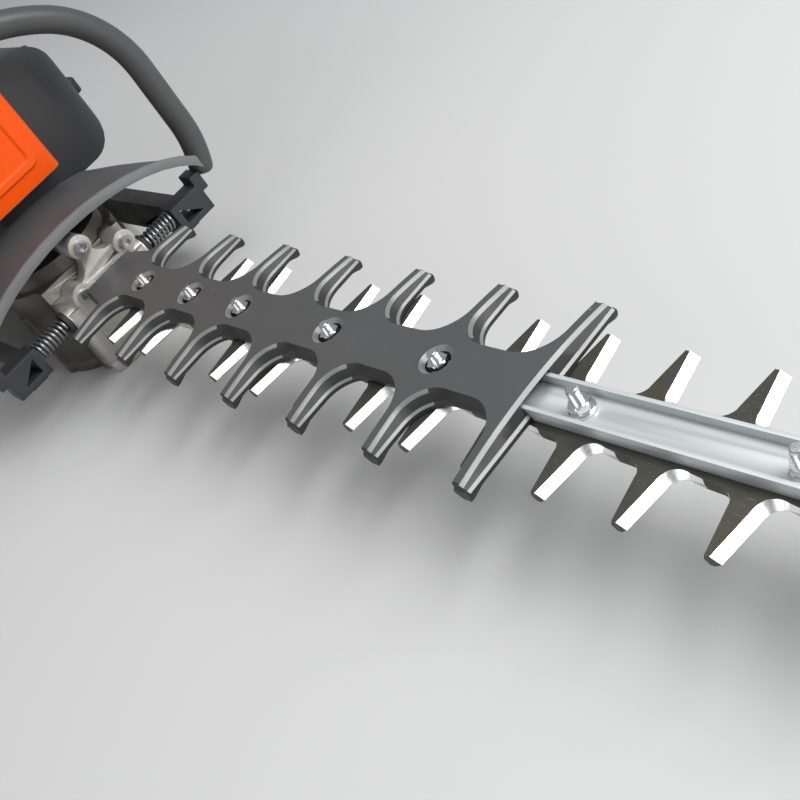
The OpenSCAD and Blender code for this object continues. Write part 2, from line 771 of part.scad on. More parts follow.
module starter_grip() {
    x = engine_at[0] - 18;
    grip_half_l = 16;
    color([0.08, 0.08, 0.08]) {
        bar_y(x, 114, 3.5, fan_y1, fan_y1 + 6);
        round_slab([x - grip_half_l, fan_y1 + 4, 109], [x + grip_half_l, fan_y1 + 13, 119], 4);
    }
}

/* Exhaust and intake */

port_y = engine_at[1] - port_reach;

module muffler() {
    a = [-72, port_y - 44, 86];
    b = [-36, port_y, 129];
    t = [1.2, 1.2, 1.2];
    color([0.45, 0.42, 0.38]) difference() {
        union() {
            round_slab(a, b, 6);
            bar_y(-54, 96, 5.5, port_y - 51, port_y - 43);
        }
        round_slab(a + t, b - t, 5);
        bar_y(-50, cyl_z, 7, port_y - 5, port_y + 1);
        bar_y(-54, 96, 4.3, port_y - 52, port_y - 40);
    }
}

intake_y = engine_at[1] + port_reach;

module intake_block() {
    color([0.1, 0.1, 0.1]) difference() {
        round_slab([-66, intake_y, 95], [-38, intake_y + 8, 121], 2);
        bar_y(-52, cyl_z, 6, intake_y - 1, intake_y + 9);
    }
}

carb_y = intake_y + 8;
carb_top = 122;
lever_at = [-52, carb_y + 9];

module carburettor() {
    color([0.7, 0.7, 0.68]) difference() {
        union() {
            round_slab([-64, carb_y, 95], [-40, carb_y + 20, carb_top], 3);
            bar_y(-52, cyl_z, 11, carb_y + 19, carb_y + 21);
            bar_x(carb_y + 10, cyl_z - 4, 8, -69, -63);
        }
        bar_y(-52, cyl_z, 6, carb_y - 1, carb_y + 22);
        translate([lever_at[0], lever_at[1], 115]) cylinder(r = 2.05, h = 10);
    }
}

module throttle_lever() {
    color([0.8, 0.75, 0.5]) translate([lever_at[0], lever_at[1], 0]) {
        translate([0, 0, 115.5]) cylinder(r = 2, h = 8);
        translate([0, 0, carb_top + 0.4]) cylinder(r = 4, h = 2);
        translate([-14, -2, carb_top + 0.4]) cube([14, 4, 2]);
    }
}

base_y = carb_y + 21;
bulb_at = [-60, 74];

module filter_base() {
    color([0.14, 0.14, 0.15]) difference() {
        round_slab([-92, base_y, 62], [-36.5, base_y + 2.6, 134], 1);
        bar_y(-52, cyl_z, 6, base_y - 1, base_y + 4);
        bar_y(bulb_at[0], bulb_at[1], 8.3, base_y - 1, base_y + 4);
        bar_y(-80, 94, 2.05, base_y - 1, base_y + 4);
        bar_y(-72, 126, 2.55, base_y - 1, base_y + 4);
    }
}

module air_filter() {
    color([0.85, 0.82, 0.7]) difference() {
        round_slab([-86, base_y + 3, 102], [-42, base_y + 11, 131.5], 3);
        bar_y(-72, 126, 4, base_y, base_y + 14);
    }
}

cover_y1 = base_y + 18;

module filter_cover() {
    color([0.20, 0.21, 0.22]) difference() {
        round_slab([-92, base_y + 2.7, 99], [-36.5, cover_y1, 134], 3.5);
        round_slab([-90, base_y + 2, 101], [-38.5, cover_y1 - 2, 132], 2);
        bar_y(-72, 126, 2.55, base_y, cover_y1 + 1);
    }
}

module filter_knob() {
    color([0.08, 0.08, 0.08]) {
        bar_y(-72, 126, 2.5, base_y - 3, cover_y1 + 1);
        difference() {
            bar_y(-72, 126, 8, cover_y1 + 0.3, cover_y1 + 6);
            for (a = [0:45:315]) translate([-72 + 9 * cos(a), 0, 126 + 9 * sin(a)])
                bar_y(0, 0, 2, cover_y1, cover_y1 + 7);
        }
    }
}

module choke_lever() {
    color([0.08, 0.08, 0.08]) {
        bar_y(-80, 94, 2, base_y - 4, base_y + 5);
        difference() {
            translate([-104, base_y + 3, 91.5]) cube([28, 3, 5]);
            translate([-107, base_y + 2, 90]) rotate([0, -20, 0]) cube([6, 5, 10]);
        }
    }
}

module primer_bulb() {
    color([0.75, 0.2, 0.15]) {
        bar_y(bulb_at[0], bulb_at[1], 8, base_y - 1, base_y + 6);
        translate([bulb_at[0], base_y + 6, bulb_at[1]]) intersection() {
            sphere(r = 8);
            translate([-10, 0, -10]) cube([20, 10, 20]);
        }
    }
}

/* Covers and tank */

shell_x0 = -118;
shell_x1 = 65;
shell_y0 = -64;
shell_y1 = 33;
shell_z0 = 104;
shell_z1 = 168;
shell_wall = 2.6;
shell_round = 14;

module shell_block(inset) {
    r = shell_round - inset;
    y0 = shell_y0 + inset;
    y1 = shell_y1 - inset;
    z1 = shell_z1 - inset;
    intersection() {
        plate_yz(concat([[y0, shell_z0 - inset], [y1, shell_z0 - inset]],
            arc(r, 0, 90, 6, [y1 - r, z1 - r]), arc(r, 90, 180, 6, [y0 + r, z1 - r])),
            shell_x0 + inset, shell_x1 - inset);
        round_slab([shell_x0 + inset, y0, 0], [shell_x1 - inset, y1, 200], 6 - inset);
    }
}

cover_screw_x = [-100, -60, 56];

module engine_cover() {
    color([1, 0.31, 0]) difference() {
        shell_block(0);
        shell_block(shell_wall);
        // Notch that lets the fan housing pass out to the left
        translate([fan_x0 - 0.5, 10, fan_z0 - 1])
            cube([fan_x1 - fan_x0 + 1, 40, fan_z1 + 1.5 - fan_z0]);
        translate([-95, 10, shell_z0 - 1]) cube([62, 40, cyl_z + fin_r + 4 - shell_z0]);
        for (x = cover_screw_x) translate([x, -15, shell_z1 - 5]) cylinder(r = 2.3, h = 8);
        // Cooling slots in the right side over the muffler
        for (i = [0:6]) translate([-84 + 9 * i, shell_y0 - 5, 118]) cube([4, 12, 24]);
    }
}

module cover_screws() {
    color([0.3, 0.3, 0.3]) for (x = cover_screw_x) translate([x, -15, shell_z1 + 3.8])
        rotate([180, 0, 0]) cap_screw(4.2, 2, 16);
}

tank_x0 = -132;
tank_x1 = -16;
tank_half = 72;
tank_z1 = 70;
cap_at = [-98, 40];

module fuel_tank() {
    wall = 2.5;
    color([0.55, 0.56, 0.54]) difference() {
        union() {
            round_slab([tank_x0, -tank_half, 0], [tank_x1, tank_half, tank_z1], 16);
            bar_y(cap_at[0], cap_at[1], 18, tank_half - 1, tank_half + 4);
        }
        round_slab([tank_x0 + wall, wall - tank_half, wall],
            [tank_x1 - wall, tank_half - wall, tank_z1 - wall], 13.5);
        bar_y(cap_at[0], cap_at[1], 15.05, tank_half - 8, tank_half + 5);
    }
}

module fuel_cap() {
    color([0.08, 0.08, 0.08]) {
        bar_y(cap_at[0], cap_at[1], 15, tank_half - 7, tank_half + 6);
        difference() {
            bar_y(cap_at[0], cap_at[1], 21, tank_half + 4.3, tank_half + 15);
            for (a = [0:30:330])
                bar_y(cap_at[0] + 22 * cos(a), cap_at[1] + 22 * sin(a), 2.4,
                    tank_half + 4, tank_half + 16);
        }
    }
}

/* Front handle and guard */

loop_side_y = 99.5;
loop_low_z = 80;
loop_high_z = 117;
corner_r = 68.5;
crown_r = 122.5;
crown_a = asin((loop_side_y - corner_r) / (crown_r - corner_r));
crown_z = loop_high_z - (crown_r - corner_r) * cos(crown_a);
loop_end_a = 24;

// Centreline of the loop handle's left half, from its low end to the top
loop_half = [for (p = concat(
    arc(corner_r, -loop_end_a, 0, 4, [loop_side_y - corner_r, loop_low_z]),
    arc(corner_r, 0, 90 - crown_a, 8, [loop_side_y - corner_r, loop_high_z]),
    arc(crown_r, 90 - crown_a + 6, 90, 5, [0, crown_z])))
    [loop_x, p[0], p[1]]];

loop_path = concat(loop_half, [for (i = [len(loop_half) - 2:-1:0])
    [loop_half[i][0], -loop_half[i][1], loop_half[i][2]]]);

module front_handle() {
    color([0.24, 0.25, 0.26]) sweep(loop_path, loop_d / 2, 16, [1, 0, 0]);
}

guard_x0 = 50;
guard_x1 = 98;
guard_end_y = 89;
guard_end_z = 54;
guard_wall = 3;
arch_z = 40;

// Half width and rise of the guard's arch at its front, at its rear, and round the lip
guard_front = [98, 47];
guard_rear = [92, 54];
guard_lip = [101, 50];

// Plan of the guard's +Y half, from its rear edge to its front
guard_plan = [[guard_x0, 0], [guard_x0, 42], [guard_x1 - 12, 78], [guard_x1 - 12, guard_end_y],
    [guard_x1, guard_end_y], [guard_x1, 0]];

// Half-elliptic arch with short straight sides, where size holds its half width and its rise
function arch(size) = concat([[size[0], arch_z - 5]],
    [for (i = [0:20]) [size[0] * cos(9 * i), arch_z + size[1] * sin(9 * i)]],
    [[-size[0], arch_z - 5]]);

// Solid of the guard's outside, or of its inside with inset set to the wall
module guard_block(inset) {
    front = guard_x1 + (inset > 0 ? 1 : 0);
    rear = guard_x0 - (inset > 0 ? 1 : 0);
    hull() {
        plate_yz(arch(guard_front - [inset, inset]), front - 1, front);
        plate_yz(arch(guard_rear - [inset, inset]), rear, rear + 1);
    }
}

module hand_guard() {
    color([0.33, 0.34, 0.35]) difference() {
        intersection() {
            union() {
                guard_block(0);
                plate_yz(arch(guard_lip), guard_x1 - guard_wall, guard_x1);
            }
            // The guard is deep in the middle only
            translate([0, 0, guard_end_z]) linear_extrude(100)
                polygon(concat(guard_plan, flip(mirror_y(guard_plan))));
        }
        guard_block(guard_wall);
        sweep(loop_path, loop_d / 2 + EPS, 16, [1, 0, 0]);
    }
}

frame_in = 60;
frame_out = 72;
frame_z0 = 24;
frame_z1 = 46;
block_x0 = 78;
block_x1 = 92;
block_y1 = 82;
block_z0 = 30;
block_z1 = 48;
foot_y1 = 86.5;

module frame_side() {
    difference() {
        union() {
            translate([tank_x1, frame_in, frame_z0])
                cube([block_x0 + 2 - tank_x1, frame_out - frame_in, frame_z1 - frame_z0]);
            translate([block_x0, spring_out, block_z0])
                cube([block_x1 - block_x0, block_y1 - spring_out, block_z1 - block_z0]);
            // Foot against the inner side of the tube
            translate([block_x0, block_y1 - 3, block_z1 - 6])
                cube([block_x1 - block_x0, foot_y1 - block_y1 + 3, 12]);
        }
        // Triangular windows in the arm and in the block
        plate_xz([[30, 28], [70, 28], [70, 42]], 50, 80);
        plate_yz([[62, 34], [75, 34], [62, 44]], 70, 100);
        sweep(loop_path, loop_d / 2 + EPS, 16, [1, 0, 0]);
    }
}

module side_frame() {
    color([0.2, 0.2, 0.21]) {
        frame_side();
        mirror([0, 1, 0]) frame_side();
    }
}

// Envelope of the coil spring on the left
module spring_side() {
    translate([spring_x, box_half + cup_h, spring_z]) rotate([-90, 0, 0])
        bearing(6, 4, spring_out - box_half - cup_h);
}

module av_springs() {
    color([0.5, 0.5, 0.5]) {
        spring_side();
        mirror([0, 1, 0]) spring_side();
    }
}

module cup_side() {
    bar_y(spring_x, spring_z, 7.5, box_half, box_half + cup_h);
    bar_y(spring_x, spring_z, 3.9, box_half + 2, box_half + 8);
}

module av_cups() {
    color([0.1, 0.1, 0.1]) {
        cup_side();
        mirror([0, 1, 0]) cup_side();
    }
}

/* Rear handle */

grip_x0 = -290;
grip_x1 = tank_x0;
grip_z0 = 6;
grip_z1 = 128;
grip_half = 16;
hand_x0 = -267;
hand_x1 = -164;
hand_z0 = 36;
hand_z1 = 92;
trigger_pin = [-168, 102];
lockout_pin = [-212, 117];
handle_screw_at = [[-144, 16], [-278, 18], [-278, 112], [-144, 84]];

// Outline with rounded corners in X and Z
function round_box(x0, z0, x1, z1, r) = concat(
    arc(r, 180, 270, 6, [x0 + r, z0 + r]), arc(r, 270, 360, 6, [x1 - r, z0 + r]),
    arc(r, 0, 90, 6, [x1 - r, z1 - r]), arc(r, 90, 180, 6, [x0 + r, z1 - r]));

// Half of the rear handle, from the parting plane to y = grip_half
module handle_half() {
    difference() {
        plate_xz(round_box(grip_x0, grip_z0, grip_x1, grip_z1, 22), 0.05, grip_half);
        plate_xz(round_box(hand_x0, hand_z0, hand_x1, hand_z1, 20), -1, grip_half + 1);
        // Hollow for the trigger work, and the slots it shows through
        plate_xz([[-264, 97], [-152, 97], [-152, 124], [-264, 124]], -1, 13);
        plate_xz([[-220, 88], [-160, 88], [-160, 100], [-220, 100]], -1, 6);
        plate_xz([[-268, 120], [-204, 120], [-204, 130], [-268, 130]], -1, 7);
        plate_xz([[-156, 103], [-120, 103], [-120, 109], [-156, 109]], -1, 12);
        // Hollow in the lower bar
        plate_xz([[-262, 12], [-154, 12], [-154, 30], [-262, 30]], -1, 13);
    }
}

module rear_handle_left() {
    color([0.17, 0.18, 0.19]) difference() {
        handle_half();
        for (p = handle_screw_at) bar_y(p[0], p[1], 2.05, -1, 12);
        bar_y(-150, 112, 4.1, 12, grip_half + 1);
    }
}

module rear_handle_right() {
    color([0.17, 0.18, 0.19]) difference() {
        mirror([0, 1, 0]) handle_half();
        for (p = handle_screw_at) {
            bar_y(p[0], p[1], 2.3, -grip_half - 1, 1);
            bar_y(p[0], p[1], 4.4, -grip_half - 1, -11);
        }
    }
}

module handle_screws() {
    color([0.3, 0.3, 0.3]) for (p = handle_screw_at)
        translate([p[0], -14.9, p[1]]) rotate([-90, 0, 0]) cap_screw(4.2, 2, 25);
}

module handle_pins() {
    color([0.7, 0.7, 0.7]) for (p = [trigger_pin, lockout_pin]) bar_y(p[0], p[1], 2, -12.9, 12.9);
}

module throttle_trigger() {
    color([0.08, 0.08, 0.08]) difference() {
        union() {
            plate_xz([[-172, 98], [-166, 98], [-166, 104], [-203, 104], [-211, 97], [-206, 80],
                [-198, 72], [-192, 74], [-188, 84], [-180, 92]], -5, 5);
            bar_y(trigger_pin[0], trigger_pin[1], 4.2, -5, 5);
        }
        bar_y(trigger_pin[0], trigger_pin[1], 2.05, -6, 6);
    }
}

module throttle_lockout() {
    color([0.08, 0.08, 0.08]) difference() {
        union() {
            plate_xz([[-208, 114], [-208, 121], [-224, 126], [-256, 135], [-262, 130],
                [-260, 124], [-222, 115]], -5.5, 5.5);
            bar_y(lockout_pin[0], lockout_pin[1], 4.2, -5.5, 5.5);
        }
        bar_y(lockout_pin[0], lockout_pin[1], 2.05, -7, 7);
    }
}

module stop_switch() {
    color([0.8, 0.1, 0.08]) {
        bar_y(-150, 112, 4, 13, grip_half + 2);
        bar_y(-150, 112, 8, grip_half + 0.3, grip_half + 3);
        translate([-152, grip_half + 0.3, 112]) cube([4, 5, 13]);
    }
}

cable_path = [
    [-158, 7, 106], [-145, 8, 106], [-130, 9, 106], [-126, 24, 107], [-125, 38, 109],
    [-117, 53, 113], [-103, 61, 118], [-88, 63, 122], [-74, 62, 124]
];

module throttle_cable() {
    color([0.05, 0.05, 0.05]) sweep(cable_path, 2, 8, [0, 0, 1]);
}

blade_upper();
blade_lower();
guide_channel();
tooth_guard();
guide_bolts();
guide_nuts();
guide_bushes();
guide_washers();
gearbox_housing();
gearbox_cover();
gearbox_screws();
crank_gear();
crank_bearings();
clutch_drum();
drum_bearing();
clutch_hub();
clutch_shoe_left();
clutch_shoe_right();
crankcase();
crankshaft();
shaft_bearings();
engine_cylinder();
piston();
spark_plug();
plug_cap();
flywheel();
ignition_module();
starter_pulley();
recoil_spring();
fan_housing();
starter_grip();
muffler();
intake_block();
carburettor();
throttle_lever();
choke_lever();
air_filter();
filter_cover();
filter_knob();
engine_cover();
cover_screws();
fuel_tank();
fuel_cap();
filter_base();
primer_bulb();
front_handle();
hand_guard();
side_frame();
av_springs();
av_cups();
rear_handle_left();
rear_handle_right();
throttle_trigger();
throttle_lockout();
handle_pins();
stop_switch();
handle_screws();
throttle_cable();
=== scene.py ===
import math

import bmesh
import bpy
from mathutils import Matrix, Vector
from mathutils.geometry import delaunay_2d_cdt, tessellate_polygon


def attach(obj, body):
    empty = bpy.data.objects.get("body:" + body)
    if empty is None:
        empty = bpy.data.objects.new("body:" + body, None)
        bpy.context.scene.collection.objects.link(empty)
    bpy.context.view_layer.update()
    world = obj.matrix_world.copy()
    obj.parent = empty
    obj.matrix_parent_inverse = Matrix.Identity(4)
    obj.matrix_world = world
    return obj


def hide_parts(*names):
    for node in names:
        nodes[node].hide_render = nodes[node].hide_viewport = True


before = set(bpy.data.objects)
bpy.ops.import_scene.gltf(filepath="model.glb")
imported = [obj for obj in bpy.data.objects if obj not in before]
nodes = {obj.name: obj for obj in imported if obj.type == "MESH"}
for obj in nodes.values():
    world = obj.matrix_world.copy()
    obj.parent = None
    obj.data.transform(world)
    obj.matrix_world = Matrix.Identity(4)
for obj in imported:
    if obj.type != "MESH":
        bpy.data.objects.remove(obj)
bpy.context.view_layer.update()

MM = 0.001
MM_PER_M = 1000.0


# ---------------------------------------------------------------- materials

mats = {}
FACTOR, COLOUR_A, COLOUR_B, COLOUR_OUT = 0, 6, 7, 2     # sockets of a colour Mix node
COAT_ROUGH = 0.15


class Mat:
    """A Principled material that is built up one layer at a time, in object coordinates."""

    def __init__(self, name, base, rough, metallic=0.0, coat=0.0, spec=0.5):
        self.mat = mats[name] = bpy.data.materials.new(name)
        self.mat.use_nodes = True
        self.tree = self.mat.node_tree
        self.bsdf = next(n for n in self.tree.nodes if n.type == "BSDF_PRINCIPLED")
        for key, value in (("Metallic", metallic), ("Roughness", rough), ("Coat Weight", coat),
                           ("Coat Roughness", COAT_ROUGH), ("Specular IOR Level", spec),
                           ("Base Color", (*base, 1))):
            self.bsdf.inputs[key].default_value = value
        self.base = base
        self.coords = self.new("ShaderNodeTexCoord").outputs["Object"]
        self.colour = None
        self.height = None

    def new(self, kind, **settings):
        node = self.tree.nodes.new(kind)
        for key, value in settings.items():
            setattr(node, key, value)
        return node

    def link(self, a, b):
        self.tree.links.new(a, b)

    def texture(self, kind, size, stretch=(1, 1, 1)):
        """Texture whose features are about size millimetres wide, drawn out by stretch."""
        mapping = self.new("ShaderNodeMapping")
        self.link(self.coords, mapping.inputs["Vector"])
        mapping.inputs["Scale"].default_value = [1.0 / s for s in stretch]
        node = self.new(kind)
        node.inputs["Scale"].default_value = MM_PER_M / size
        self.link(mapping.outputs[0], node.inputs["Vector"])
        return node

    def noise(self, size, stretch=(1, 1, 1), detail=3.0):
        node = self.texture("ShaderNodeTexNoise", size, stretch)
        node.inputs["Detail"].default_value = detail
        return node.outputs["Fac"]

    def cells(self, size):
        return self.texture("ShaderNodeTexVoronoi", size).outputs["Distance"]

    def ramp(self, fac, low, high, a=0.0, b=1.0):
        """fac mapped from low..high to a..b, clamped."""
        node = self.new("ShaderNodeMapRange", clamp=True)
        self.link(fac, node.inputs["Value"])
        for key, value in (("From Min", low), ("From Max", high), ("To Min", a), ("To Max", b)):
            node.inputs[key].default_value = value
        return node.outputs["Result"]

    def along(self, low, high, amount):
        """Share that grows from 0 to amount as the object's X goes from low to high, in metres."""
        split = self.new("ShaderNodeSeparateXYZ")
        self.link(self.coords, split.inputs[0])
        return self.ramp(split.outputs["X"], low, high, 0, amount)

    def mix(self, fac, colour):
        """Base colour that is colour where fac is 1. Returns the socket for where fac is 0."""
        node = self.new("ShaderNodeMix", data_type="RGBA", clamp_factor=True)
        self.link(fac, node.inputs[FACTOR])
        node.inputs[COLOUR_B].default_value = (*colour, 1)
        self.colour = node.outputs[COLOUR_OUT]
        self.link(self.colour, self.bsdf.inputs["Base Color"])
        return node.inputs[COLOUR_A]

    def vary(self, fac, amount):
        """Lightens and darkens the base colour by amount. This is each material's first layer."""
        low = [max(0.0, c * (1 - amount)) for c in self.base]
        high = [min(1.0, c * (1 + amount)) for c in self.base]
        self.mix(fac, high).default_value = (*low, 1)
        return self

    def tint(self, fac, colour):
        """Mixes colour in where fac is 1, over the layers so far."""
        below = self.colour
        self.link(below, self.mix(fac, colour))
        return self

    def gloss(self, fac, low, high):
        """Roughness from low to high as fac goes from 0.3 to 0.7."""
        self.link(self.ramp(fac, 0.3, 0.7, low, high), self.bsdf.inputs["Roughness"])
        return self

    def bump(self, fac, depth, strength=0.6):
        """Raises the surface by depth millimetres where fac is 1."""
        node = self.new("ShaderNodeBump")
        node.inputs["Strength"].default_value = strength
        node.inputs["Distance"].default_value = depth * MM
        self.link(fac, node.inputs["Height"])
        if self.height is not None:
            self.link(self.height, node.inputs["Normal"])
        self.height = node.outputs["Normal"]
        self.link(self.height, self.bsdf.inputs["Normal"])
        return self

    def worn(self, colour, size, amount):
        """Rubs colour through along the sharp edges."""
        edge = self.ramp(self.new("ShaderNodeNewGeometry").outputs["Pointiness"], 0.52, 0.60)
        patch = self.ramp(self.noise(size), 0.42, 0.62, 0, amount)
        both = self.new("ShaderNodeMath", operation="MULTIPLY")
        self.link(edge, both.inputs[0])
        self.link(patch, both.inputs[1])
        return self.tint(both.outputs[0], colour)


def plastic(name, base, rough, grain, depth, coat=0.0, spec=0.5):
    """Moulded plastic with a grain of grain millimetres, depth millimetres deep."""
    m = Mat(name, base, rough, coat=coat, spec=spec)
    m.vary(m.noise(40, detail=2), 0.10)
    pale = [min(1, c * 1.6 + 0.03) for c in base]
    m.tint(m.ramp(m.noise(7, detail=5), 0.60, 0.75, 0, 0.10), pale)
    m.gloss(m.noise(18, detail=4), rough - 0.07, rough + 0.09)
    m.bump(m.noise(grain, detail=2), depth)
    m.bump(m.noise(30, detail=1), 0.12, 0.25)
    return m


def metal(name, base, rough, stretch=(1, 1, 1), line=0.3, depth=0.006, stain=0.08):
    """Machined metal with lines of line millimetres, drawn out by stretch."""
    m = Mat(name, base, rough, metallic=1.0)
    m.vary(m.noise(12, detail=4), stain)
    m.gloss(m.noise(5, detail=4), rough - 0.06, rough + 0.06)
    m.bump(m.noise(line, stretch, detail=3), depth)
    return m


def cutter_materials():
    m = Mat("blade_steel", (0.060, 0.060, 0.048), 0.42, metallic=0.55)
    m.vary(m.noise(9, detail=5), 0.35)
    m.tint(m.ramp(m.noise(26, detail=3), 0.50, 0.70, 0, 0.30), (0.085, 0.070, 0.045))
    m.tint(m.ramp(m.cells(1.5), 0.13, 0.05, 0, 0.75), (0.34, 0.35, 0.33))
    m.tint(m.ramp(m.noise(0.9, (9, 1, 1), detail=4), 0.66, 0.74, 0, 0.5), (0.22, 0.22, 0.20))
    m.gloss(m.noise(3.5, detail=5), 0.34, 0.56)
    m.bump(m.noise(0.5, detail=4), 0.03)

    m = Mat("ground_edge", (0.93, 0.93, 0.92), 0.30, metallic=1.0)
    m.vary(m.noise(6, detail=4), 0.05)
    m.gloss(m.noise(1.6, (1, 6, 1), detail=4), 0.24, 0.38)
    m.bump(m.noise(0.35, (0.25, 6, 6), detail=3), 0.006)
    m.tint(m.ramp(m.noise(3.0, detail=5), 0.68, 0.76, 0, 0.35), (0.55, 0.54, 0.50))

    m = Mat("bar_aluminium", (0.50, 0.53, 0.54), 0.46, metallic=0.45)
    m.vary(m.noise(1.6, (60, 1, 1), detail=5), 0.07)
    m.tint(m.ramp(m.noise(30, (3, 1, 1), detail=3), 0.45, 0.75, 0, 0.30), (0.58, 0.61, 0.62))
    m.tint(m.ramp(m.noise(2.2, (12, 1, 1), detail=5), 0.66, 0.74, 0, 0.4), (0.40, 0.42, 0.43))
    m.gloss(m.noise(1.2, (40, 1, 1), detail=4), 0.40, 0.56)
    m.bump(m.noise(0.35, (60, 1, 1), detail=3), 0.010)

    m = metal("zinc", (0.86, 0.87, 0.88), 0.20, line=0.6, depth=0.01, stain=0.05)
    m.tint(m.ramp(m.noise(1.2, detail=5), 0.62, 0.72, 0, 0.35), (0.45, 0.45, 0.44))


def engine_materials():
    metal("plain_steel", (0.50, 0.50, 0.50), 0.34, (1, 1, 8), 0.4)
    metal("bearing_steel", (0.74, 0.75, 0.77), 0.16, (4, 4, 1), 0.3, 0.003)
    metal("piston_alloy", (0.68, 0.68, 0.67), 0.30, (1, 8, 8), 0.4, 0.012)
    metal("spring_steel", (0.30, 0.31, 0.33), 0.30, (1, 1, 1), 0.5, 0.008)
    metal("shoe_iron", (0.13, 0.11, 0.10), 0.55, (1, 1, 1), 0.6, 0.03, stain=0.25)
    metal("lever_brass", (0.60, 0.48, 0.22), 0.28, (6, 1, 1), 0.4)
    plastic("ceramic", (0.80, 0.79, 0.74), 0.16, 3, 0.02, coat=0.5)

    for name, base, rough, grain in (
            ("cast_alloy", (0.56, 0.54, 0.50), 0.46, 0.7),
            ("engine_alloy", (0.48, 0.48, 0.465), 0.50, 0.9)):
        m = Mat(name, base, rough, metallic=0.75)
        m.vary(m.noise(16, detail=5), 0.14)
        m.tint(m.ramp(m.noise(9, detail=6), 0.56, 0.78, 0, 0.5), [c * 0.6 for c in base])
        m.gloss(m.noise(6, detail=4), rough - 0.08, rough + 0.12)
        if name == "cast_alloy":
            # Painted shade: the casting is darker and browner behind its front face, where the
            # guard's shadow falls
            m.tint(m.along(0.0835, 0.0775, 0.85), (0.060, 0.048, 0.036))
        m.bump(m.noise(grain, detail=4), 0.06)
        m.bump(m.noise(9, detail=2), 0.25, 0.35)


def body_materials():
    m = plastic("guard_plastic", (0.066, 0.067, 0.068), 0.50, 0.4, 0.012, spec=0.35)
    m.tint(m.ramp(m.cells(11), 0.055, 0.035, 0, 0.5), (0.30, 0.30, 0.29))
    # Darker and paler copies of the guard plastic: painted shade for its walls and hollows, painted
    # highlight for its lit front bevels
    plastic("guard_shade", (0.022, 0.022, 0.023), 0.55, 0.4, 0.012)
    plastic("guard_painted_highlight", (0.17, 0.172, 0.17), 0.32, 0.5, 0.01, spec=0.8)
    plastic("handle_plastic", (0.060, 0.061, 0.062), 0.40, 0.35, 0.02)
    m = plastic("shield_plastic", (0.082, 0.084, 0.086), 0.46, 0.4, 0.02, spec=0.35)
    # Painted highlight: paler front rim of the hand guard, where the light catches its lip
    m.tint(m.along(0.0949, 0.0952, 1.0), (0.165, 0.167, 0.168))
    plastic("housing_plastic", (0.030, 0.031, 0.033), 0.48, 0.5, 0.035)
    plastic("black_plastic", (0.014, 0.014, 0.015), 0.44, 0.45, 0.03)
    plastic("switch_red", (0.55, 0.025, 0.015), 0.30, 0.5, 0.01, coat=0.3)
    plastic("bulb_rubber", (0.42, 0.05, 0.035), 0.50, 0.6, 0.02)
    plastic("orange_plastic", (0.90, 0.092, 0.001), 0.36, 0.6, 0.006, spec=0.25)
    m = plastic("tank_plastic", (0.40, 0.41, 0.39), 0.42, 0.8, 0.02)
    m.bsdf.inputs["Subsurface Weight"].default_value = 0.15
    m.bsdf.inputs["Subsurface Radius"].default_value = (0.004, 0.004, 0.004)
    plastic("black_rubber", (0.020, 0.020, 0.020), 0.66, 0.5, 0.04)

    m = Mat("black_screw", (0.045, 0.045, 0.047), 0.36, metallic=0.8)
    m.vary(m.noise(2, detail=4), 0.3)
    m.gloss(m.noise(1.5, detail=4), 0.28, 0.46)
    m.worn((0.35, 0.35, 0.35), 1.5, 0.7)

    m = Mat("heat_steel", (0.20, 0.17, 0.14), 0.42, metallic=0.85)
    m.vary(m.noise(10, detail=5), 0.3)
    m.tint(m.ramp(m.noise(22, detail=3), 0.45, 0.70, 0, 0.6), (0.23, 0.13, 0.10))
    m.tint(m.ramp(m.noise(17, detail=3), 0.58, 0.74, 0, 0.5), (0.12, 0.13, 0.22))
    m.gloss(m.noise(6, detail=5), 0.34, 0.60)
    m.bump(m.noise(0.8, detail=3), 0.02)

    m = Mat("filter_foam", (0.42, 0.36, 0.22), 0.95)
    m.vary(m.noise(8, detail=4), 0.2)
    m.bump(m.cells(1.1), 0.5, 0.9)


cutter_materials()
engine_materials()
body_materials()


# ---------------------------------------------------------------- mesh helpers

SHARP = 32                                              # degrees, for edges of CAD pieces
WELD, JOIN = 2e-6, 1e-7                                 # metres
FLAT_ANGLE, BEVEL_ANGLE, BEVEL_SEGMENTS = 0.4, 30, 2    # degrees, degrees, count


def smooth_group():
    """Node group that smooths faces except across edges sharper than its angle."""
    group = bpy.data.node_groups.new("smooth_edges", "GeometryNodeTree")
    group.interface.new_socket("Geometry", in_out="INPUT", socket_type="NodeSocketGeometry")
    group.interface.new_socket("Geometry", in_out="OUTPUT", socket_type="NodeSocketGeometry")
    new, link = group.nodes.new, group.links.new
    start, end = new("NodeGroupInput"), new("NodeGroupOutput")
    clear = new("GeometryNodeRemoveAttribute")
    clear.inputs["Name"].default_value = "custom_normal"
    faces = new("GeometryNodeSetShadeSmooth")
    edges = new("GeometryNodeSetShadeSmooth")
    edges.domain = "EDGE"
    angle = new("GeometryNodeInputMeshEdgeAngle")
    sharper = new("FunctionNodeCompare")
    sharper.data_type, sharper.operation = "FLOAT", "GREATER_THAN"
    sharper.inputs["B"].default_value = math.radians(SHARP)
    edges.inputs["Shade Smooth"].default_value = False
    link(start.outputs[0], clear.inputs[0])
    link(clear.outputs[0], faces.inputs["Geometry"])
    link(faces.outputs[0], edges.inputs["Geometry"])
    link(angle.outputs["Unsigned Angle"], sharper.inputs["A"])
    link(sharper.outputs[0], edges.inputs["Selection"])
    link(edges.outputs[0], end.inputs[0])
    return group


smooth_edges = smooth_group()


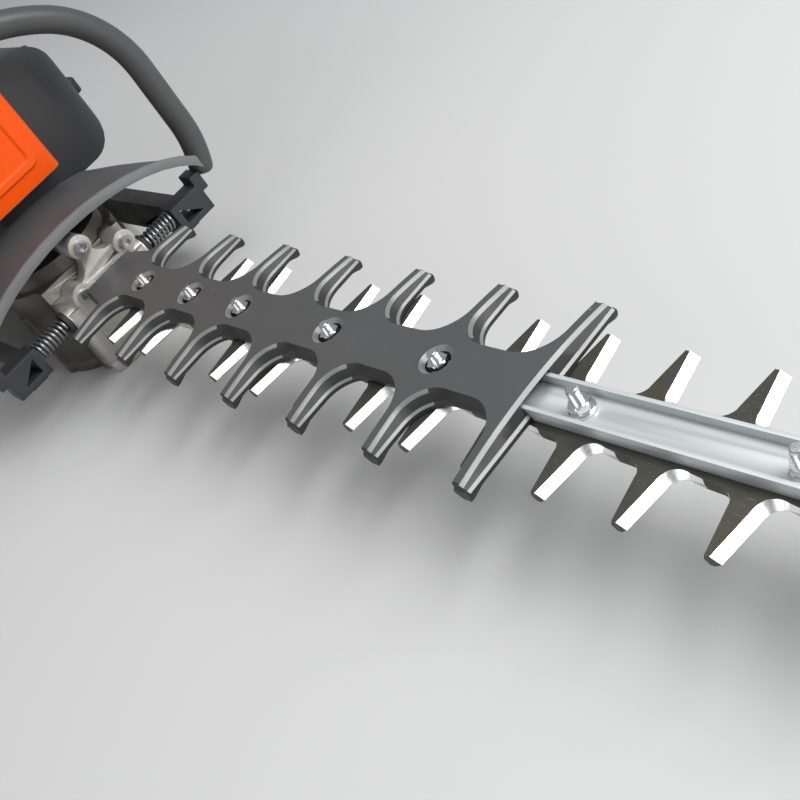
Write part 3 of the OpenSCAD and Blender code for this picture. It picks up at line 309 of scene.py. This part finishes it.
def soften(obj, width):
    """Rounds an object's sharp edges by width millimetres and shades it smooth."""
    weld = obj.modifiers.new("weld", "WELD")
    weld.merge_threshold = WELD
    flat = obj.modifiers.new("flat", "DECIMATE")
    flat.decimate_type, flat.angle_limit = "DISSOLVE", math.radians(FLAT_ANGLE)
    if width:
        bevel = obj.modifiers.new("bevel", "BEVEL")
        bevel.width, bevel.segments = width * MM, BEVEL_SEGMENTS
        bevel.limit_method, bevel.angle_limit = "ANGLE", math.radians(BEVEL_ANGLE)
        bevel.use_clamp_overlap = True
    shade = obj.modifiers.new("shade", "NODES")
    shade.node_group = smooth_edges


def piece(name, b, body, slot, smooth, materials=None):
    """A new piece from a builder's shapes, in millimetres, riding on a body."""
    mesh = bpy.data.meshes.new(name)
    mesh.from_pydata([[c * MM for c in v] for v in b.verts], [], b.faces)
    for m in materials or [slot]:
        mesh.materials.append(mats[m])
    for poly, index in zip(mesh.polygons, b.mats):
        poly.material_index = index
    mesh.validate()
    bm = bmesh.new()
    bm.from_mesh(mesh)
    bmesh.ops.remove_doubles(bm, verts=bm.verts, dist=JOIN)
    bmesh.ops.recalc_face_normals(bm, faces=bm.faces)
    for f in bm.faces:
        f.smooth = True
    for e in bm.edges:
        if len(e.link_faces) == 2:
            e.smooth = e.calc_face_angle(0) < math.radians(smooth)
    bm.to_mesh(mesh)
    bm.free()
    obj = bpy.data.objects.new(name, mesh)
    bpy.context.scene.collection.objects.link(obj)
    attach(obj, body)
    return obj


def band(n):
    """Faces between two loops of n points, the second listed right after the first."""
    return [[k, (k + 1) % n, n + (k + 1) % n, n + k] for k in range(n)]


class Builder:
    """Collects points and faces of several shapes for one piece."""

    def __init__(self):
        self.verts, self.faces, self.mats = [], [], []

    def add(self, verts, faces, mat=0):
        """Adds a shape; mat is one material index, or one for each face."""
        start = len(self.verts)
        self.verts += [tuple(v) for v in verts]
        self.faces += [[i + start for i in f] for f in faces]
        self.mats += [mat] * len(faces) if isinstance(mat, int) else list(mat)

    def rings(self, rings, mat=0):
        """Skins a stack of rings of as many points each, and closes both ends."""
        n = len(rings[0])
        top = (len(rings) - 1) * n
        faces = [[i * n + k for k in f] for i in range(len(rings) - 1) for f in band(n)]
        faces.append(list(range(n))[::-1])
        faces.append([top + k for k in range(n)])
        self.add([p for r in rings for p in r], faces, mat)


def arc(r, a0, a1, n, c):
    """Points on an arc about c, from angle a0 to a1 in n steps."""
    angles = [math.radians(a0 + (a1 - a0) * i / n) for i in range(n + 1)]
    return [(c[0] + r * math.cos(a), c[1] + r * math.sin(a)) for a in angles]


def circle(x, r, z, n=40):
    """Points about (x, 0), at height z or at z(y) where z is a function."""
    level = z if callable(z) else (lambda y: z)
    out = []
    for k in range(n):
        a = 2 * math.pi * k / n
        out.append((x + r * math.cos(a), r * math.sin(a), level(r * math.sin(a))))
    return out


def fill(loops):
    """Triangles of a flat region, its outer loop first, as indices into all the points."""
    loops = [[Vector((p[0], p[1], 0)) for p in loop] for loop in loops]
    return [list(t) for t in tessellate_polygon(loops)]


def tangent(path, i):
    return (path[min(i + 1, len(path) - 1)] - path[max(i - 1, 0)]).normalized()


def tube_ring(p, r, u, v, n):
    """Points of a circle about p, in the plane of u and v."""
    angles = [2 * math.pi * k / n for k in range(n)]
    return [tuple(p + r * (math.cos(a) * u + math.sin(a) * v)) for a in angles]


# ---------------------------------------------------------------- cutter

PITCH, NEAR_X, TEETH, REACH, SPINE = 35.0, 155.0, 16, 35.0, 11.5
TIP_W, TAPER, ROOT = 6.4, 2.9, 6.0
SHEAR, BLADE_T, BLADE_GAP = 45.0, 2.5, 0.05
BOLT_X = [151.5, 201.5, 248, 320, 391, 463, 549, 634, 690]
FRONT_GRIND, BACK_GRIND, ROOT_GRIND, FLAT_GRIND, FLAT_RUN = 3.3, 1.2, 0.9, 0.25, 5.0
BACK_STEPS, FRONT_STEPS = 10, 12                        # round the two roots of a tooth
CRANK_X, THROW = 44.0, 8.75
YOKE_HALF_X, YOKE_HALF_Y, OPEN_HALF_X, OPEN_HALF_Y = 22, 29, 17.15, 24.15
NECK_HALF, NECK_END, BAR_START = 9, 96, 100
END_X, END_R = 707, 8
SLOT_R, SLOT_BACK, SLOT_RUN = 4.3, 0.5, 18.0


def blade_tooth(x):
    """One tooth towards +Y as (x, y, grind x, grind y), the grind being the way to its top edge."""
    pts = []
    root_y = SPINE + ROOT

    def root(cx, angle, w):
        a = math.radians(angle)
        ca, sa = math.cos(a), math.sin(a)
        pts.append((cx + ROOT * ca, root_y + ROOT * sa, w * ca, w * sa))

    for i in range(BACK_STEPS + 1):
        w = BACK_GRIND * min(1.0, max(0.0, (i - 4) / 5))
        root(x - TIP_W - TAPER - ROOT, 270 + 90 / BACK_STEPS * i, w)
    pts.append((x - TIP_W, REACH, BACK_GRIND, 0.0))
    pts.append((x, REACH, -FRONT_GRIND, 0.0))
    cx = x + TAPER + ROOT
    for i in range(FRONT_STEPS + 1):
        w = FRONT_GRIND if i < 6 else FRONT_GRIND + (ROOT_GRIND - FRONT_GRIND) * (i - 5) / 7
        root(cx, 180 + 90 / FRONT_STEPS * i, w)
    pts.append((cx + FLAT_RUN, SPINE, 0.0, -FLAT_GRIND))
    return pts


def blade_outline(yoke_x):
    neck = [(yoke_x - YOKE_HALF_X, YOKE_HALF_Y), (yoke_x + YOKE_HALF_X, YOKE_HALF_Y),
            (yoke_x + YOKE_HALF_X, NECK_HALF), (NECK_END, NECK_HALF), (BAR_START, SPINE)]
    neck = [(x, y, 0.0, 0.0) for x, y in neck]
    far = [p for i in range(TEETH) for p in blade_tooth(NEAR_X + PITCH / 2 + i * PITCH)]
    near = [p for i in range(TEETH) for p in blade_tooth(NEAR_X + i * PITCH)]
    tip = [(x, y, 0.0, 0.0) for x, y in arc(END_R, 90, 0, 8, (END_X, SPINE - END_R))]
    half = neck + near + tip
    return neck + far + tip + [(x, -y, gx, -gy) for x, y, gx, gy in reversed(half)]


def blade_holes(yoke_x, slot_dir):
    """The yoke's opening and a slot for each bolt, running slot_dir from it."""
    x0, x1 = yoke_x - OPEN_HALF_X, yoke_x + OPEN_HALF_X
    holes = [[(x0, -OPEN_HALF_Y), (x1, -OPEN_HALF_Y), (x1, OPEN_HALF_Y), (x0, OPEN_HALF_Y)]]
    for x in BOLT_X:
        x0, x1 = (x - SLOT_BACK, x + SLOT_RUN) if slot_dir > 0 else (x - SLOT_RUN, x + SLOT_BACK)
        holes.append(arc(SLOT_R, 90, 270, 12, (x0, 0)) + arc(SLOT_R, -90, 90, 12, (x1, 0)))
    return holes


def blade(name, node, body, yoke_x, slot_dir, z_knife, up):
    """One blade, with its knife plane at z_knife and its ground bevels towards up."""
    outline = blade_outline(yoke_x)
    holes = blade_holes(yoke_x, slot_dir)
    base = [(x, y) for x, y, gx, gy in outline]
    top = [(x + gx, y + gy) for x, y, gx, gy in outline]
    z0, z1 = z_knife, z_knife + up * BLADE_T
    b = Builder()
    for loop, z in ((base, z0), (top, z1)):
        loops = [loop] + holes
        b.add([(x, y, z) for part in loops for x, y in part], fill(loops))
    n = len(base)
    width = [math.hypot(gx, gy) for x, y, gx, gy in outline]
    at_end = [abs(abs(y) - REACH) < 0.01 for x, y in base]
    ground = []
    for k in range(n):
        after = (k + 1) % n
        tooth_end = at_end[k] and at_end[after]
        ground.append(1 if width[k] + width[after] > 0.5 and not tooth_end else 0)
    b.add([(x, y, z0) for x, y in base] + [(x, y, z1) for x, y in top], band(n), ground)
    for hole in holes:
        b.add([(x, y, z0) for x, y in hole] + [(x, y, z1) for x, y in hole], band(len(hole)))
    obj = piece(name, b, body, "blade_steel", 25, ["blade_steel", "ground_edge"])
    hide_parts(node)


blade("cutter_upper", "blade_upper", "upper_blade", CRANK_X + THROW, 1, SHEAR + BLADE_GAP, 1)
blade("cutter_lower", "blade_lower", "lower_blade", CRANK_X - THROW, -1, SHEAR - BLADE_GAP, -1)


# ---------------------------------------------------------------- bolts and nuts

GUARD_BOLTS, LOW_BOLTS = 5, 2       # first bolts, that hold the tooth guard and have low heads
HEAD_R, HEAD_H, LOW_HEAD_TOP, HEAD_TOP = 4.62, 3.5, 37.0, 40.85
BOLT_R, BOLT_END, THREAD_PITCH, THREAD_DEPTH, END_LENGTH = 2.5, 60.5, 0.8, 0.42, 0.9
NUT_R, NUT_H, GUARD_NUT_Z, BAR_NUT_Z = 4.55, 4.6, 51.45, 49.45


def hex_prism(b, x, r, z0, z1, chamfer):
    """Hexagon with its corners turned off at both ends, along Z."""
    rings = []
    n = 48
    inner = r * math.cos(math.pi / 6)

    def radius(a, limit):
        local = (a % (math.pi / 3)) - math.pi / 6
        return min(inner / math.cos(local), limit)

    angles = [2 * math.pi * k / n for k in range(n)]
    turned = inner * 0.98
    for z, limit in ((z0, turned), (z0 + chamfer, r), (z1 - chamfer, r), (z1, turned)):
        rings.append([(x + radius(a, limit) * math.cos(a), radius(a, limit) * math.sin(a), z)
                      for a in angles])
    b.rings(rings)


def lathe(b, profile, x, n):
    """Turned solid from (radius, height) points about the Z axis through (x, 0)."""
    b.rings([circle(x, r, h, n) for r, h in profile])


def threaded(b, x, r, z0, z1, n=28):
    """Screw thread with a chamfered end, as rings whose radius follows the helix."""
    steps = int((z1 - z0 - END_LENGTH) / THREAD_PITCH * 4)
    rings = [circle(x, 0.9 * r, z0 - 0.4, n)]
    for i in range(steps + 1):
        z = z0 + (z1 - z0 - END_LENGTH) * i / steps
        ring = []
        for k in range(n):
            phase = ((z - z0) / THREAD_PITCH - k / n) % 1.0
            depth = THREAD_DEPTH * abs(2 * phase - 1)
            a = 2 * math.pi * k / n
            ring.append((x + (r - depth) * math.cos(a), (r - depth) * math.sin(a), z))
        rings.append(ring)
    rings += [circle(x, 0.86 * r, z1 - 0.25, n), circle(x, 0.70 * r, z1, n)]
    b.rings(rings)


def fasteners():
    bolts, nuts = Builder(), Builder()
    for i, x in enumerate(BOLT_X):
        head_top = LOW_HEAD_TOP if i < LOW_BOLTS else HEAD_TOP
        nut_z = GUARD_NUT_Z if i < GUARD_BOLTS else BAR_NUT_Z
        hex_prism(bolts, x, HEAD_R, head_top - HEAD_H, head_top, 0.35)
        lathe(bolts, [(BOLT_R, head_top - 0.6), (BOLT_R, nut_z - 0.5)], x, 28)
        threaded(bolts, x, BOLT_R, nut_z - 0.6, BOLT_END)
        flange = [(5.0, nut_z), (5.2, nut_z + 0.25), (5.15, nut_z + 0.8), (4.5, nut_z + 1.25)]
        lathe(nuts, flange, x, 48)
        hex_prism(nuts, x, NUT_R, nut_z + 0.9, nut_z + NUT_H, 0.45)
    obj = piece("bar_bolts", bolts, "machine", "zinc", 28)
    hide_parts("guide_bolts")
    obj = piece("bar_nuts", nuts, "machine", "zinc", 28)
    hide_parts("guide_nuts")


fasteners()


# ---------------------------------------------------------------- front handle

LOOP_X, LOOP_R, LOOP_N = 84.0, 7.48, 36
SIDE_R, SIDE_Y, SIDE_LOW_Z, SIDE_HIGH_Z, TOP_R, TOP_Z = 68.5, 31, 80, 117, 122.5, 72.8
CAPS = ((5.6, 2.2), (4.9, 5.2), (3.4, 6.8), (1.4, 7.35))    # rings as (way past the end, radius)


def loop_path():
    half = (arc(SIDE_R, -24, 0, 8, (SIDE_Y, SIDE_LOW_Z))
            + arc(SIDE_R, 0, 54.97, 18, (SIDE_Y, SIDE_HIGH_Z))
            + arc(TOP_R, 57.5, 90, 14, (0, TOP_Z)))
    half = [(LOOP_X, y, z) for y, z in half]
    return half + [(x, -y, z) for x, y, z in reversed(half[:-1])]


def loop_handle():
    b = Builder()
    path = loop_path()
    end = Vector(path[0])
    tip = (end - Vector(path[1])).normalized()
    caps = [tuple(end + tip * d) for d, r in CAPS]
    ends = [(x, -y, z) for x, y, z in reversed(caps)]
    cap_radii = [r for d, r in CAPS]
    radii = cap_radii + [LOOP_R] * len(path) + cap_radii[::-1]
    full = [Vector(p) for p in caps + path + ends]
    rings = []
    for i, p in enumerate(full):
        t = tangent(full, i)
        u = Vector((1, 0, 0)).cross(t).normalized()
        rings.append(tube_ring(p, radii[i], u, t.cross(u), LOOP_N))
    b.rings(rings)
    obj = piece("loop_handle", b, "machine", "handle_plastic", 50)
    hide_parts("front_handle")


loop_handle()


# ---------------------------------------------------------------- tooth guard

COMB_X0, TINE_LAST, TINE_STEP, TINES, TINE_HALF, TINE_REACH = 106.0, 441.0, 51.4, 7, 4.25, 45.5
TINE_X = [TINE_LAST - (TINES - 1) * TINE_STEP + i * TINE_STEP for i in range(TINES)]
COMB_FLOOR, LIP_Z, COMB_HALF, GAP_R = 48.05, 49.8, 13.0, 15.0
COMB_TOP, CROWN, TINE_CHAMFER, GAP_Y = 56.5, 3.8, 0.9, COMB_HALF + GAP_R
GAP_STEPS = 10
SINK_R, SEAT_R, HOLE_R, SINK_Z = 7.7, 5.75, 2.7, 54.7
CUT_X0, CUT_X1, GROOVE_HALF, PILLAR_R = 90, 460, 8.75, 6.6
CUT_JOIN = 2e-4                                         # millimetres
PLAIN, PAINTED_HIGHLIGHT, PAINTED_SHADE = 0, 1, 2                           # guard plastic; a paler copy for painted highlights; a darker copy for painted shade
FANG = ((49.6, -4.0, 4.1, 37.0), (48.1, -4.1, 4.1, 38.2), (46.6, -2.8, 3.4, 41.4),
        (45.45, -1.4, 2.8, 43.6))                       # rings as (z, rear, front, inner end)
FANG_END = 45.45
BEAD_X, BEAD_Y, BEAD_Z, BEAD_R, BEAD_RY, BEAD_RINGS, BEAD_N = 1.9, 44.0, 46.9, 1.5, 1.45, 7, 12


def comb_z(y):
    return COMB_TOP - CROWN * (y / TINE_REACH) ** 2


def comb_outline():
    """The tooth guard's plan as (x, y, nx, ny), the last two pointing out of it."""
    half = []

    def line(x0, y0, x1, y1, steps):
        length = math.hypot(x1 - x0, y1 - y0)
        nx, ny = (y0 - y1) / length, (x1 - x0) / length
        for i in range(steps + 1):
            t = i / steps
            half.append((x0 + (x1 - x0) * t, y0 + (y1 - y0) * t, nx, ny))

    def gap(cx, start):
        for k in range(1, GAP_STEPS + 1):
            a = math.radians(start + 90 / GAP_STEPS * k)
            ca, sa = math.cos(a), math.sin(a)
            half.append((cx + GAP_R * ca, GAP_Y + GAP_R * sa, -ca, -sa))

    shoulder, corner = TINE_X[0] - TINE_HALF, TINE_REACH - TINE_CHAMFER
    line(COMB_X0, 0, COMB_X0, COMB_HALF + 4, 4)
    line(COMB_X0, COMB_HALF + 4, shoulder, COMB_HALF + 9, 4)
    line(shoulder, COMB_HALF + 9, shoulder, corner, 6)
    for i, x in enumerate(TINE_X):
        if i:
            gap(x - TINE_HALF - GAP_R, 270)
            line(x - TINE_HALF, GAP_Y, x - TINE_HALF, corner, 5)
        half.append((x - TINE_HALF + TINE_CHAMFER, TINE_REACH, 0, 1))
        half.append((x + TINE_HALF - TINE_CHAMFER, TINE_REACH, 0, 1))
        if i < TINES - 1:
            line(x + TINE_HALF, corner, x + TINE_HALF, GAP_Y, 5)
            cx = x + TINE_HALF + GAP_R
            gap(cx, 180)
            line(cx, COMB_HALF, x + TINE_STEP - TINE_HALF - GAP_R, COMB_HALF, 3)
        else:
            line(x + TINE_HALF, corner, x + TINE_HALF, 0, 14)
    clean = []
    for q in half:
        if not clean or math.hypot(q[0] - clean[-1][0], q[1] - clean[-1][1]) > 1e-4:
            clean.append(q)
    low = [(x, -y, nx, -ny) for x, y, nx, ny in reversed(clean) if y > 1e-6]
    return clean + low


def comb_ring(outline, front, rear, end, level):
    """The outline drawn in by front where it faces +X, rear where -X and end where Y."""
    ring = []
    for x, y, nx, ny in outline:
        inset = end + (front - end) * max(0.0, nx) + (rear - end) * max(0.0, -nx)
        px, py = x - nx * inset, y - ny * inset
        if abs(ny) > 0.99 and abs(y) > TINE_REACH - 0.5:
            front_corner = (x - TINE_LAST) % TINE_STEP < TINE_STEP / 2
            px = x - front if front_corner else x + rear
        ring.append((px, py, level(py)))
    return ring


def inside(x, y, loop):
    hit = False
    for k in range(len(loop)):
        (x0, y0), (x1, y1) = loop[k - 1][:2], loop[k][:2]
        if (y0 > y) != (y1 > y) and x < x0 + (x1 - x0) * (y - y0) / (y1 - y0):
            hit = not hit
    return hit


def comb_cap(b, ring, holes, level, spots=()):
    """Skin inside a ring, with holes, its other points set by level."""
    def key(p):
        return round(p[0], 4), round(p[1], 4)

    def covers(x, y):
        return inside(x, y, ring) and not any(inside(x, y, h) for h in holes)

    loops = [ring] + holes
    pts, edges = [], []
    for loop in loops:
        start, n = len(pts), len(loop)
        pts += [Vector(p[:2]) for p in loop]
        edges += [(start + k, start + (k + 1) % n) for k in range(n)]
    zs = {key(p): p[2] for loop in loops for p in loop}
    pts += [Vector(p) for p in spots if covers(*p)]
    verts, _, tris = delaunay_2d_cdt(pts, edges, [], 0, 1e-5)[:3]
    keep = []
    for t in tris:
        cx, cy = sum(verts[i][0] for i in t) / 3, sum(verts[i][1] for i in t) / 3
        if covers(cx, cy):
            keep.append(list(t))
    b.add([(v[0], v[1], zs.get(key(v), level(v[1]))) for v in verts], keep, PLAIN)


def skin(b, rings, looks):
    """Skins rings without closing them; a look is a material index or a function of the face."""
    n = len(rings[0])
    for i, look in enumerate(looks):
        picks = [look(k) if callable(look) else look for k in range(n)]
        b.add(rings[i] + rings[i + 1], band(n), picks)


def cut(b, blocks):
    """Takes boxes out of the closed solid in a builder, and returns a builder of what is left."""
    mesh = bpy.data.meshes.new("raw")
    mesh.from_pydata(b.verts, [], b.faces)
    for poly, index in zip(mesh.polygons, b.mats):
        poly.material_index = index
    bm = bmesh.new()
    bm.from_mesh(mesh)
    bmesh.ops.remove_doubles(bm, verts=bm.verts, dist=CUT_JOIN)
    bmesh.ops.recalc_face_normals(bm, faces=bm.faces)
    bm.to_mesh(mesh)
    bm.free()
    raw = bpy.data.objects.new("raw", mesh)
    bpy.context.scene.collection.objects.link(raw)
    box = [(0, 1, 3, 2), (4, 6, 7, 5), (0, 4, 5, 1), (2, 3, 7, 6), (0, 2, 6, 4), (1, 5, 7, 3)]
    for lo, hi in blocks:
        tool = bpy.data.meshes.new("tool")
        corners = [(x, y, z) for x in (lo[0], hi[0]) for y in (lo[1], hi[1])
                   for z in (lo[2], hi[2])]
        tool.from_pydata(corners, [], box)
        cutter = bpy.data.objects.new("tool", tool)
        bpy.context.scene.collection.objects.link(cutter)
        mod = raw.modifiers.new("cut", "BOOLEAN")
        mod.operation, mod.solver, mod.object = "DIFFERENCE", "EXACT", cutter
        graph = bpy.context.evaluated_depsgraph_get()
        result = bpy.data.meshes.new_from_object(raw.evaluated_get(graph))
        raw.modifiers.clear()
        before, raw.data = raw.data, result
        bpy.data.objects.remove(cutter)
        bpy.data.meshes.remove(tool)
        bpy.data.meshes.remove(before)
    done = raw.data
    left = Builder()
    left.add([tuple(v.co) for v in done.vertices], [list(f.vertices) for f in done.polygons],
             [f.material_index for f in done.polygons])
    bpy.data.objects.remove(raw)
    bpy.data.meshes.remove(done)
    return left


def comb_fangs(b):
    """The hooked ends below each tine, painted in shade, with a bead at the end of each, painted as
    a highlight.
    """
    for x in TINE_X:
        for side in (-1, 1):
            rings = []
            for z, rear, front, inner in FANG:
                x0, x1, y0, y1 = x + rear, x + front, side * inner, side * FANG_END
                rings.append([(x0, y0, z), (x1, y0, z), (x1, y1, z), (x0, y1, z)])
            b.rings(rings, PAINTED_SHADE)
            bead = []
            for t in range(BEAD_RINGS):
                a = math.pi * (t + 0.5) / BEAD_RINGS
                turns = [2 * math.pi * k / BEAD_N for k in range(BEAD_N)]
                bead.append([(x + BEAD_X + BEAD_R * math.sin(a) * math.cos(c),
                              side * (BEAD_Y + BEAD_RY * math.sin(a) * math.sin(c)),
                              BEAD_Z + BEAD_R * math.cos(a)) for c in turns])
            b.rings(bead, PAINTED_HIGHLIGHT)


def comb():
    outline = comb_outline()
    n = len(outline)
    b = Builder()
    bottom = comb_ring(outline, 0, 0, 0, lambda y: COMB_FLOOR)
    lip_low = comb_ring(outline, 0, 0, 0, lambda y: LIP_Z)
    lip_top = comb_ring(outline, 1.1, 0.4, 0.6, lambda y: LIP_Z + 0.9)
    wall_top = comb_ring(outline, 2.5, 0.5, 0.9, lambda y: comb_z(y) - 1.25)
    crest = comb_ring(outline, 4.0, 0.9, 1.5, comb_z)

    # Painted highlight on the bevels that face +X, towards the key light; painted shade on the
    # walls and on the bevels that face away
    def painted_light_by_facing(k):
        nx = (outline[k][2] + outline[(k + 1) % n][2]) / 2
        return PAINTED_HIGHLIGHT if nx > 0.6 else PAINTED_SHADE

    skin(b, [bottom, lip_low, lip_top, wall_top, crest], [PAINTED_SHADE, painted_light_by_facing, PAINTED_SHADE, painted_light_by_facing])
    holes, under = [], []
    for x in BOLT_X[:GUARD_BOLTS]:
        rim, out = circle(x, SINK_R, comb_z), circle(x, HOLE_R, COMB_FLOOR)
        # Painted highlight on each countersink and on the seat below it; painted shade on the
        # seat's wall and in the bolt hole
        walls = [circle(x, r, z) for r, z in
                 ((SEAT_R, SINK_Z), (SEAT_R, GUARD_NUT_Z), (HOLE_R, GUARD_NUT_Z))]
        skin(b, [rim, *walls, out], [PAINTED_HIGHLIGHT, PAINTED_SHADE, PAINTED_HIGHLIGHT, PAINTED_SHADE])
        holes.append(rim)
        under.append(out)
    near = list(range(8, 45, 6))
    across = [-y for y in near[::-1]] + [0] + near
    comb_cap(b, crest, holes, comb_z, [(x, y) for x in range(112, 440, 9) for y in across])
    comb_cap(b, bottom, under, lambda y: COMB_FLOOR)

    # The channel bar's groove, then the hollow between the pillars round the bolts
    grooves = [((CUT_X0, -GROOVE_HALF, 40), (CUT_X1, GROOVE_HALF, 49.5))]
    pillars = [v for x in BOLT_X[:GUARD_BOLTS] for v in (x - PILLAR_R, x + PILLAR_R)]
    stops = [CUT_X0] + pillars + [CUT_X1]
    for x0, x1 in zip(stops[::2], stops[1::2]):
        grooves.append(((x0, -GROOVE_HALF, 49.0), (x1, GROOVE_HALF, 54.95)))
    b = cut(b, grooves)
    comb_fangs(b)
    obj = piece("comb_guard", b, "machine", "guard_plastic", 30,
                ["guard_plastic", "guard_painted_highlight", "guard_shade"])
    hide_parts("tooth_guard")


comb()


# ---------------------------------------------------------------- springs and trim

SPRING_X, SPRING_Z, SPRING_Y0, SPRING_Y1 = 86, 42, 35.0, 56.0
COIL_R, WIRE_R, TURNS, TURN_STEPS, WIRE_N = 4.95, 1.0, 7.5, 20, 10


def coil(b, y0, y1):
    """Coil of wire along Y, with its ends closed."""
    steps = int(TURNS * TURN_STEPS)
    path = []
    for i in range(steps + 1):
        t = i / steps
        a = 2 * math.pi * TURNS * t
        path.append(Vector((SPRING_X + COIL_R * math.cos(a), y0 + (y1 - y0) * t,
                            SPRING_Z + COIL_R * math.sin(a))))
    rings = []
    for i, p in enumerate(path):
        t = tangent(path, i)
        up = t.cross(Vector((p.x - SPRING_X, 0, p.z - SPRING_Z)).normalized()).normalized()
        rings.append(tube_ring(p, WIRE_R, up.cross(t), up, WIRE_N))
    b.rings(rings)


def springs():
    b = Builder()
    for side in (-1, 1):
        coil(b, side * SPRING_Y0, side * SPRING_Y1)
    obj = piece("av_coils", b, "machine", "spring_steel", 60)
    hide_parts("av_springs")


springs()

PANEL_Y0, PANEL_Y1, PANEL_Z0, PANEL_Z1 = -55, 24, 113, 159
PANEL_RINGS = ((64.9, 0, 5), (65.9, 0.2, 5), (66.9, 1.3, 4.5), (66.9, 4.5, 3.2),
               (65.7, 6.0, 2.6))                        # (x, inset, corner radius)


def cover_trim():
    """Raised panel on the front of the engine cover, with chamfered edges."""
    b = Builder()
    rings = []
    for x, inset, r in PANEL_RINGS:
        y0, y1 = PANEL_Y0 + inset + r, PANEL_Y1 - inset - r
        z0, z1 = PANEL_Z0 + inset + r, PANEL_Z1 - inset - r
        pts = (arc(r, 180, 270, 6, (y0, z0)) + arc(r, 270, 360, 6, (y1, z0))
               + arc(r, 0, 90, 6, (y1, z1)) + arc(r, 90, 180, 6, (y0, z1)))
        rings.append([(x, y, z) for y, z in pts])
    b.rings(rings)
    piece("cover_panel", b, "machine", "orange_plastic", 30)


cover_trim()


# ---------------------------------------------------------------- CAD nodes that keep their shape

# Widths of rounded edges in millimetres, and the nodes that have them
EDGES = {
    0: "throttle_cable",
    0.15: "crank_gear",
    0.2: "guide_bushes clutch_drum piston recoil_spring handle_pins",
    0.25: "guide_channel guide_washers",
    0.3: "crank_bearings drum_bearing shaft_bearings muffler throttle_lever primer_bulb",
    0.35: "gearbox_screws cover_screws handle_screws",
    0.4: "clutch_hub clutch_shoe_left clutch_shoe_right crankshaft engine_cylinder spark_plug"
         " flywheel starter_pulley av_cups",
    0.5: "choke_lever filter_knob filter_base stop_switch",
    0.6: "filter_cover",
    0.8: "plug_cap ignition_module fan_housing intake_block carburettor engine_cover fuel_cap"
         " hand_guard",
    1.0: "gearbox_cover crankcase air_filter fuel_tank side_frame throttle_trigger"
         " throttle_lockout",
    1.2: "gearbox_housing starter_grip",
    1.5: "rear_handle_left rear_handle_right",
}
EDGE_OF = {name: width for width, names in EDGES.items() for name in names.split()}
# The photo shows the gearbox's screws as light as the lobes round them
LOOKS = {"gearbox_screws": "plain_steel"}

for name, obj in nodes.items():
    if obj.hide_render:
        continue
    look = LOOKS.get(name, obj.data.materials[0].name.split(".")[0])
    obj.data.materials[0] = mats[look]
    soften(obj, EDGE_OF[name])


# ---------------------------------------------------------------- floor, lights and camera

FLOOR_HALF, FLOOR_Z = 6.0, -0.0002


def area(name, at, to, size, power):
    """Rectangular light at a point, facing another."""
    light = bpy.data.lights.new(name, "AREA")
    light.shape, light.size, light.size_y = "RECTANGLE", size[0], size[1]
    light.energy = power
    obj = bpy.data.objects.new(name, light)
    obj.location = at
    obj.rotation_mode = "QUATERNION"
    obj.rotation_quaternion = (Vector(to) - Vector(at)).to_track_quat("-Z", "Y")
    bpy.context.scene.collection.objects.link(obj)


def studio():
    mesh = bpy.data.meshes.new("floor")
    s = FLOOR_HALF
    corners = [(x, y, FLOOR_Z) for x, y in ((-s, -s), (s, -s), (s, s), (-s, s))]
    mesh.from_pydata(corners, [], [(0, 1, 2, 3)])
    floor = bpy.data.objects.new("floor", mesh)
    bpy.context.scene.collection.objects.link(floor)
    m = Mat("floor_paint", (0.52, 0.52, 0.52), 0.70)
    m.vary(m.noise(400, detail=2), 0.02)
    mesh.materials.append(m.mat)

    world = bpy.data.worlds.new("studio")
    bpy.context.scene.world = world
    world.use_nodes = True
    back = next(n for n in world.node_tree.nodes if n.type == "BACKGROUND")
    back.inputs["Color"].default_value = (0.78, 0.80, 0.83, 1)
    back.inputs["Strength"].default_value = 0.36

    area("key", (1.35, 0.62, 1.05), (0.40, 0, 0.05), (1.3, 1.0), 30)
    area("top", (0.20, 0.35, 1.60), (0.20, 0, 0.05), (1.2, 0.8), 10)
    area("fill", (0.10, -1.60, 0.90), (0.20, 0, 0.10), (1.4, 1.0), 8)

    # The photo's angle, solved from the regular pitch of the teeth
    cam = bpy.data.cameras.new("camera")
    cam.lens, cam.sensor_width = 53.3, 36.0
    cam.clip_start, cam.clip_end = 0.01, 40.0
    obj = bpy.data.objects.new("camera", cam)
    obj.matrix_world = Matrix((
        (0.63100, -0.20124, 0.74922, 0.72585),
        (0.60958, 0.72597, -0.31840, -0.16450),
        (-0.47984, 0.65762, 0.58077, 0.31655),
        (0, 0, 0, 1)))
    bpy.context.scene.collection.objects.link(obj)
    bpy.context.scene.camera = obj
    bpy.context.scene.view_settings.view_transform = "Standard"


studio()
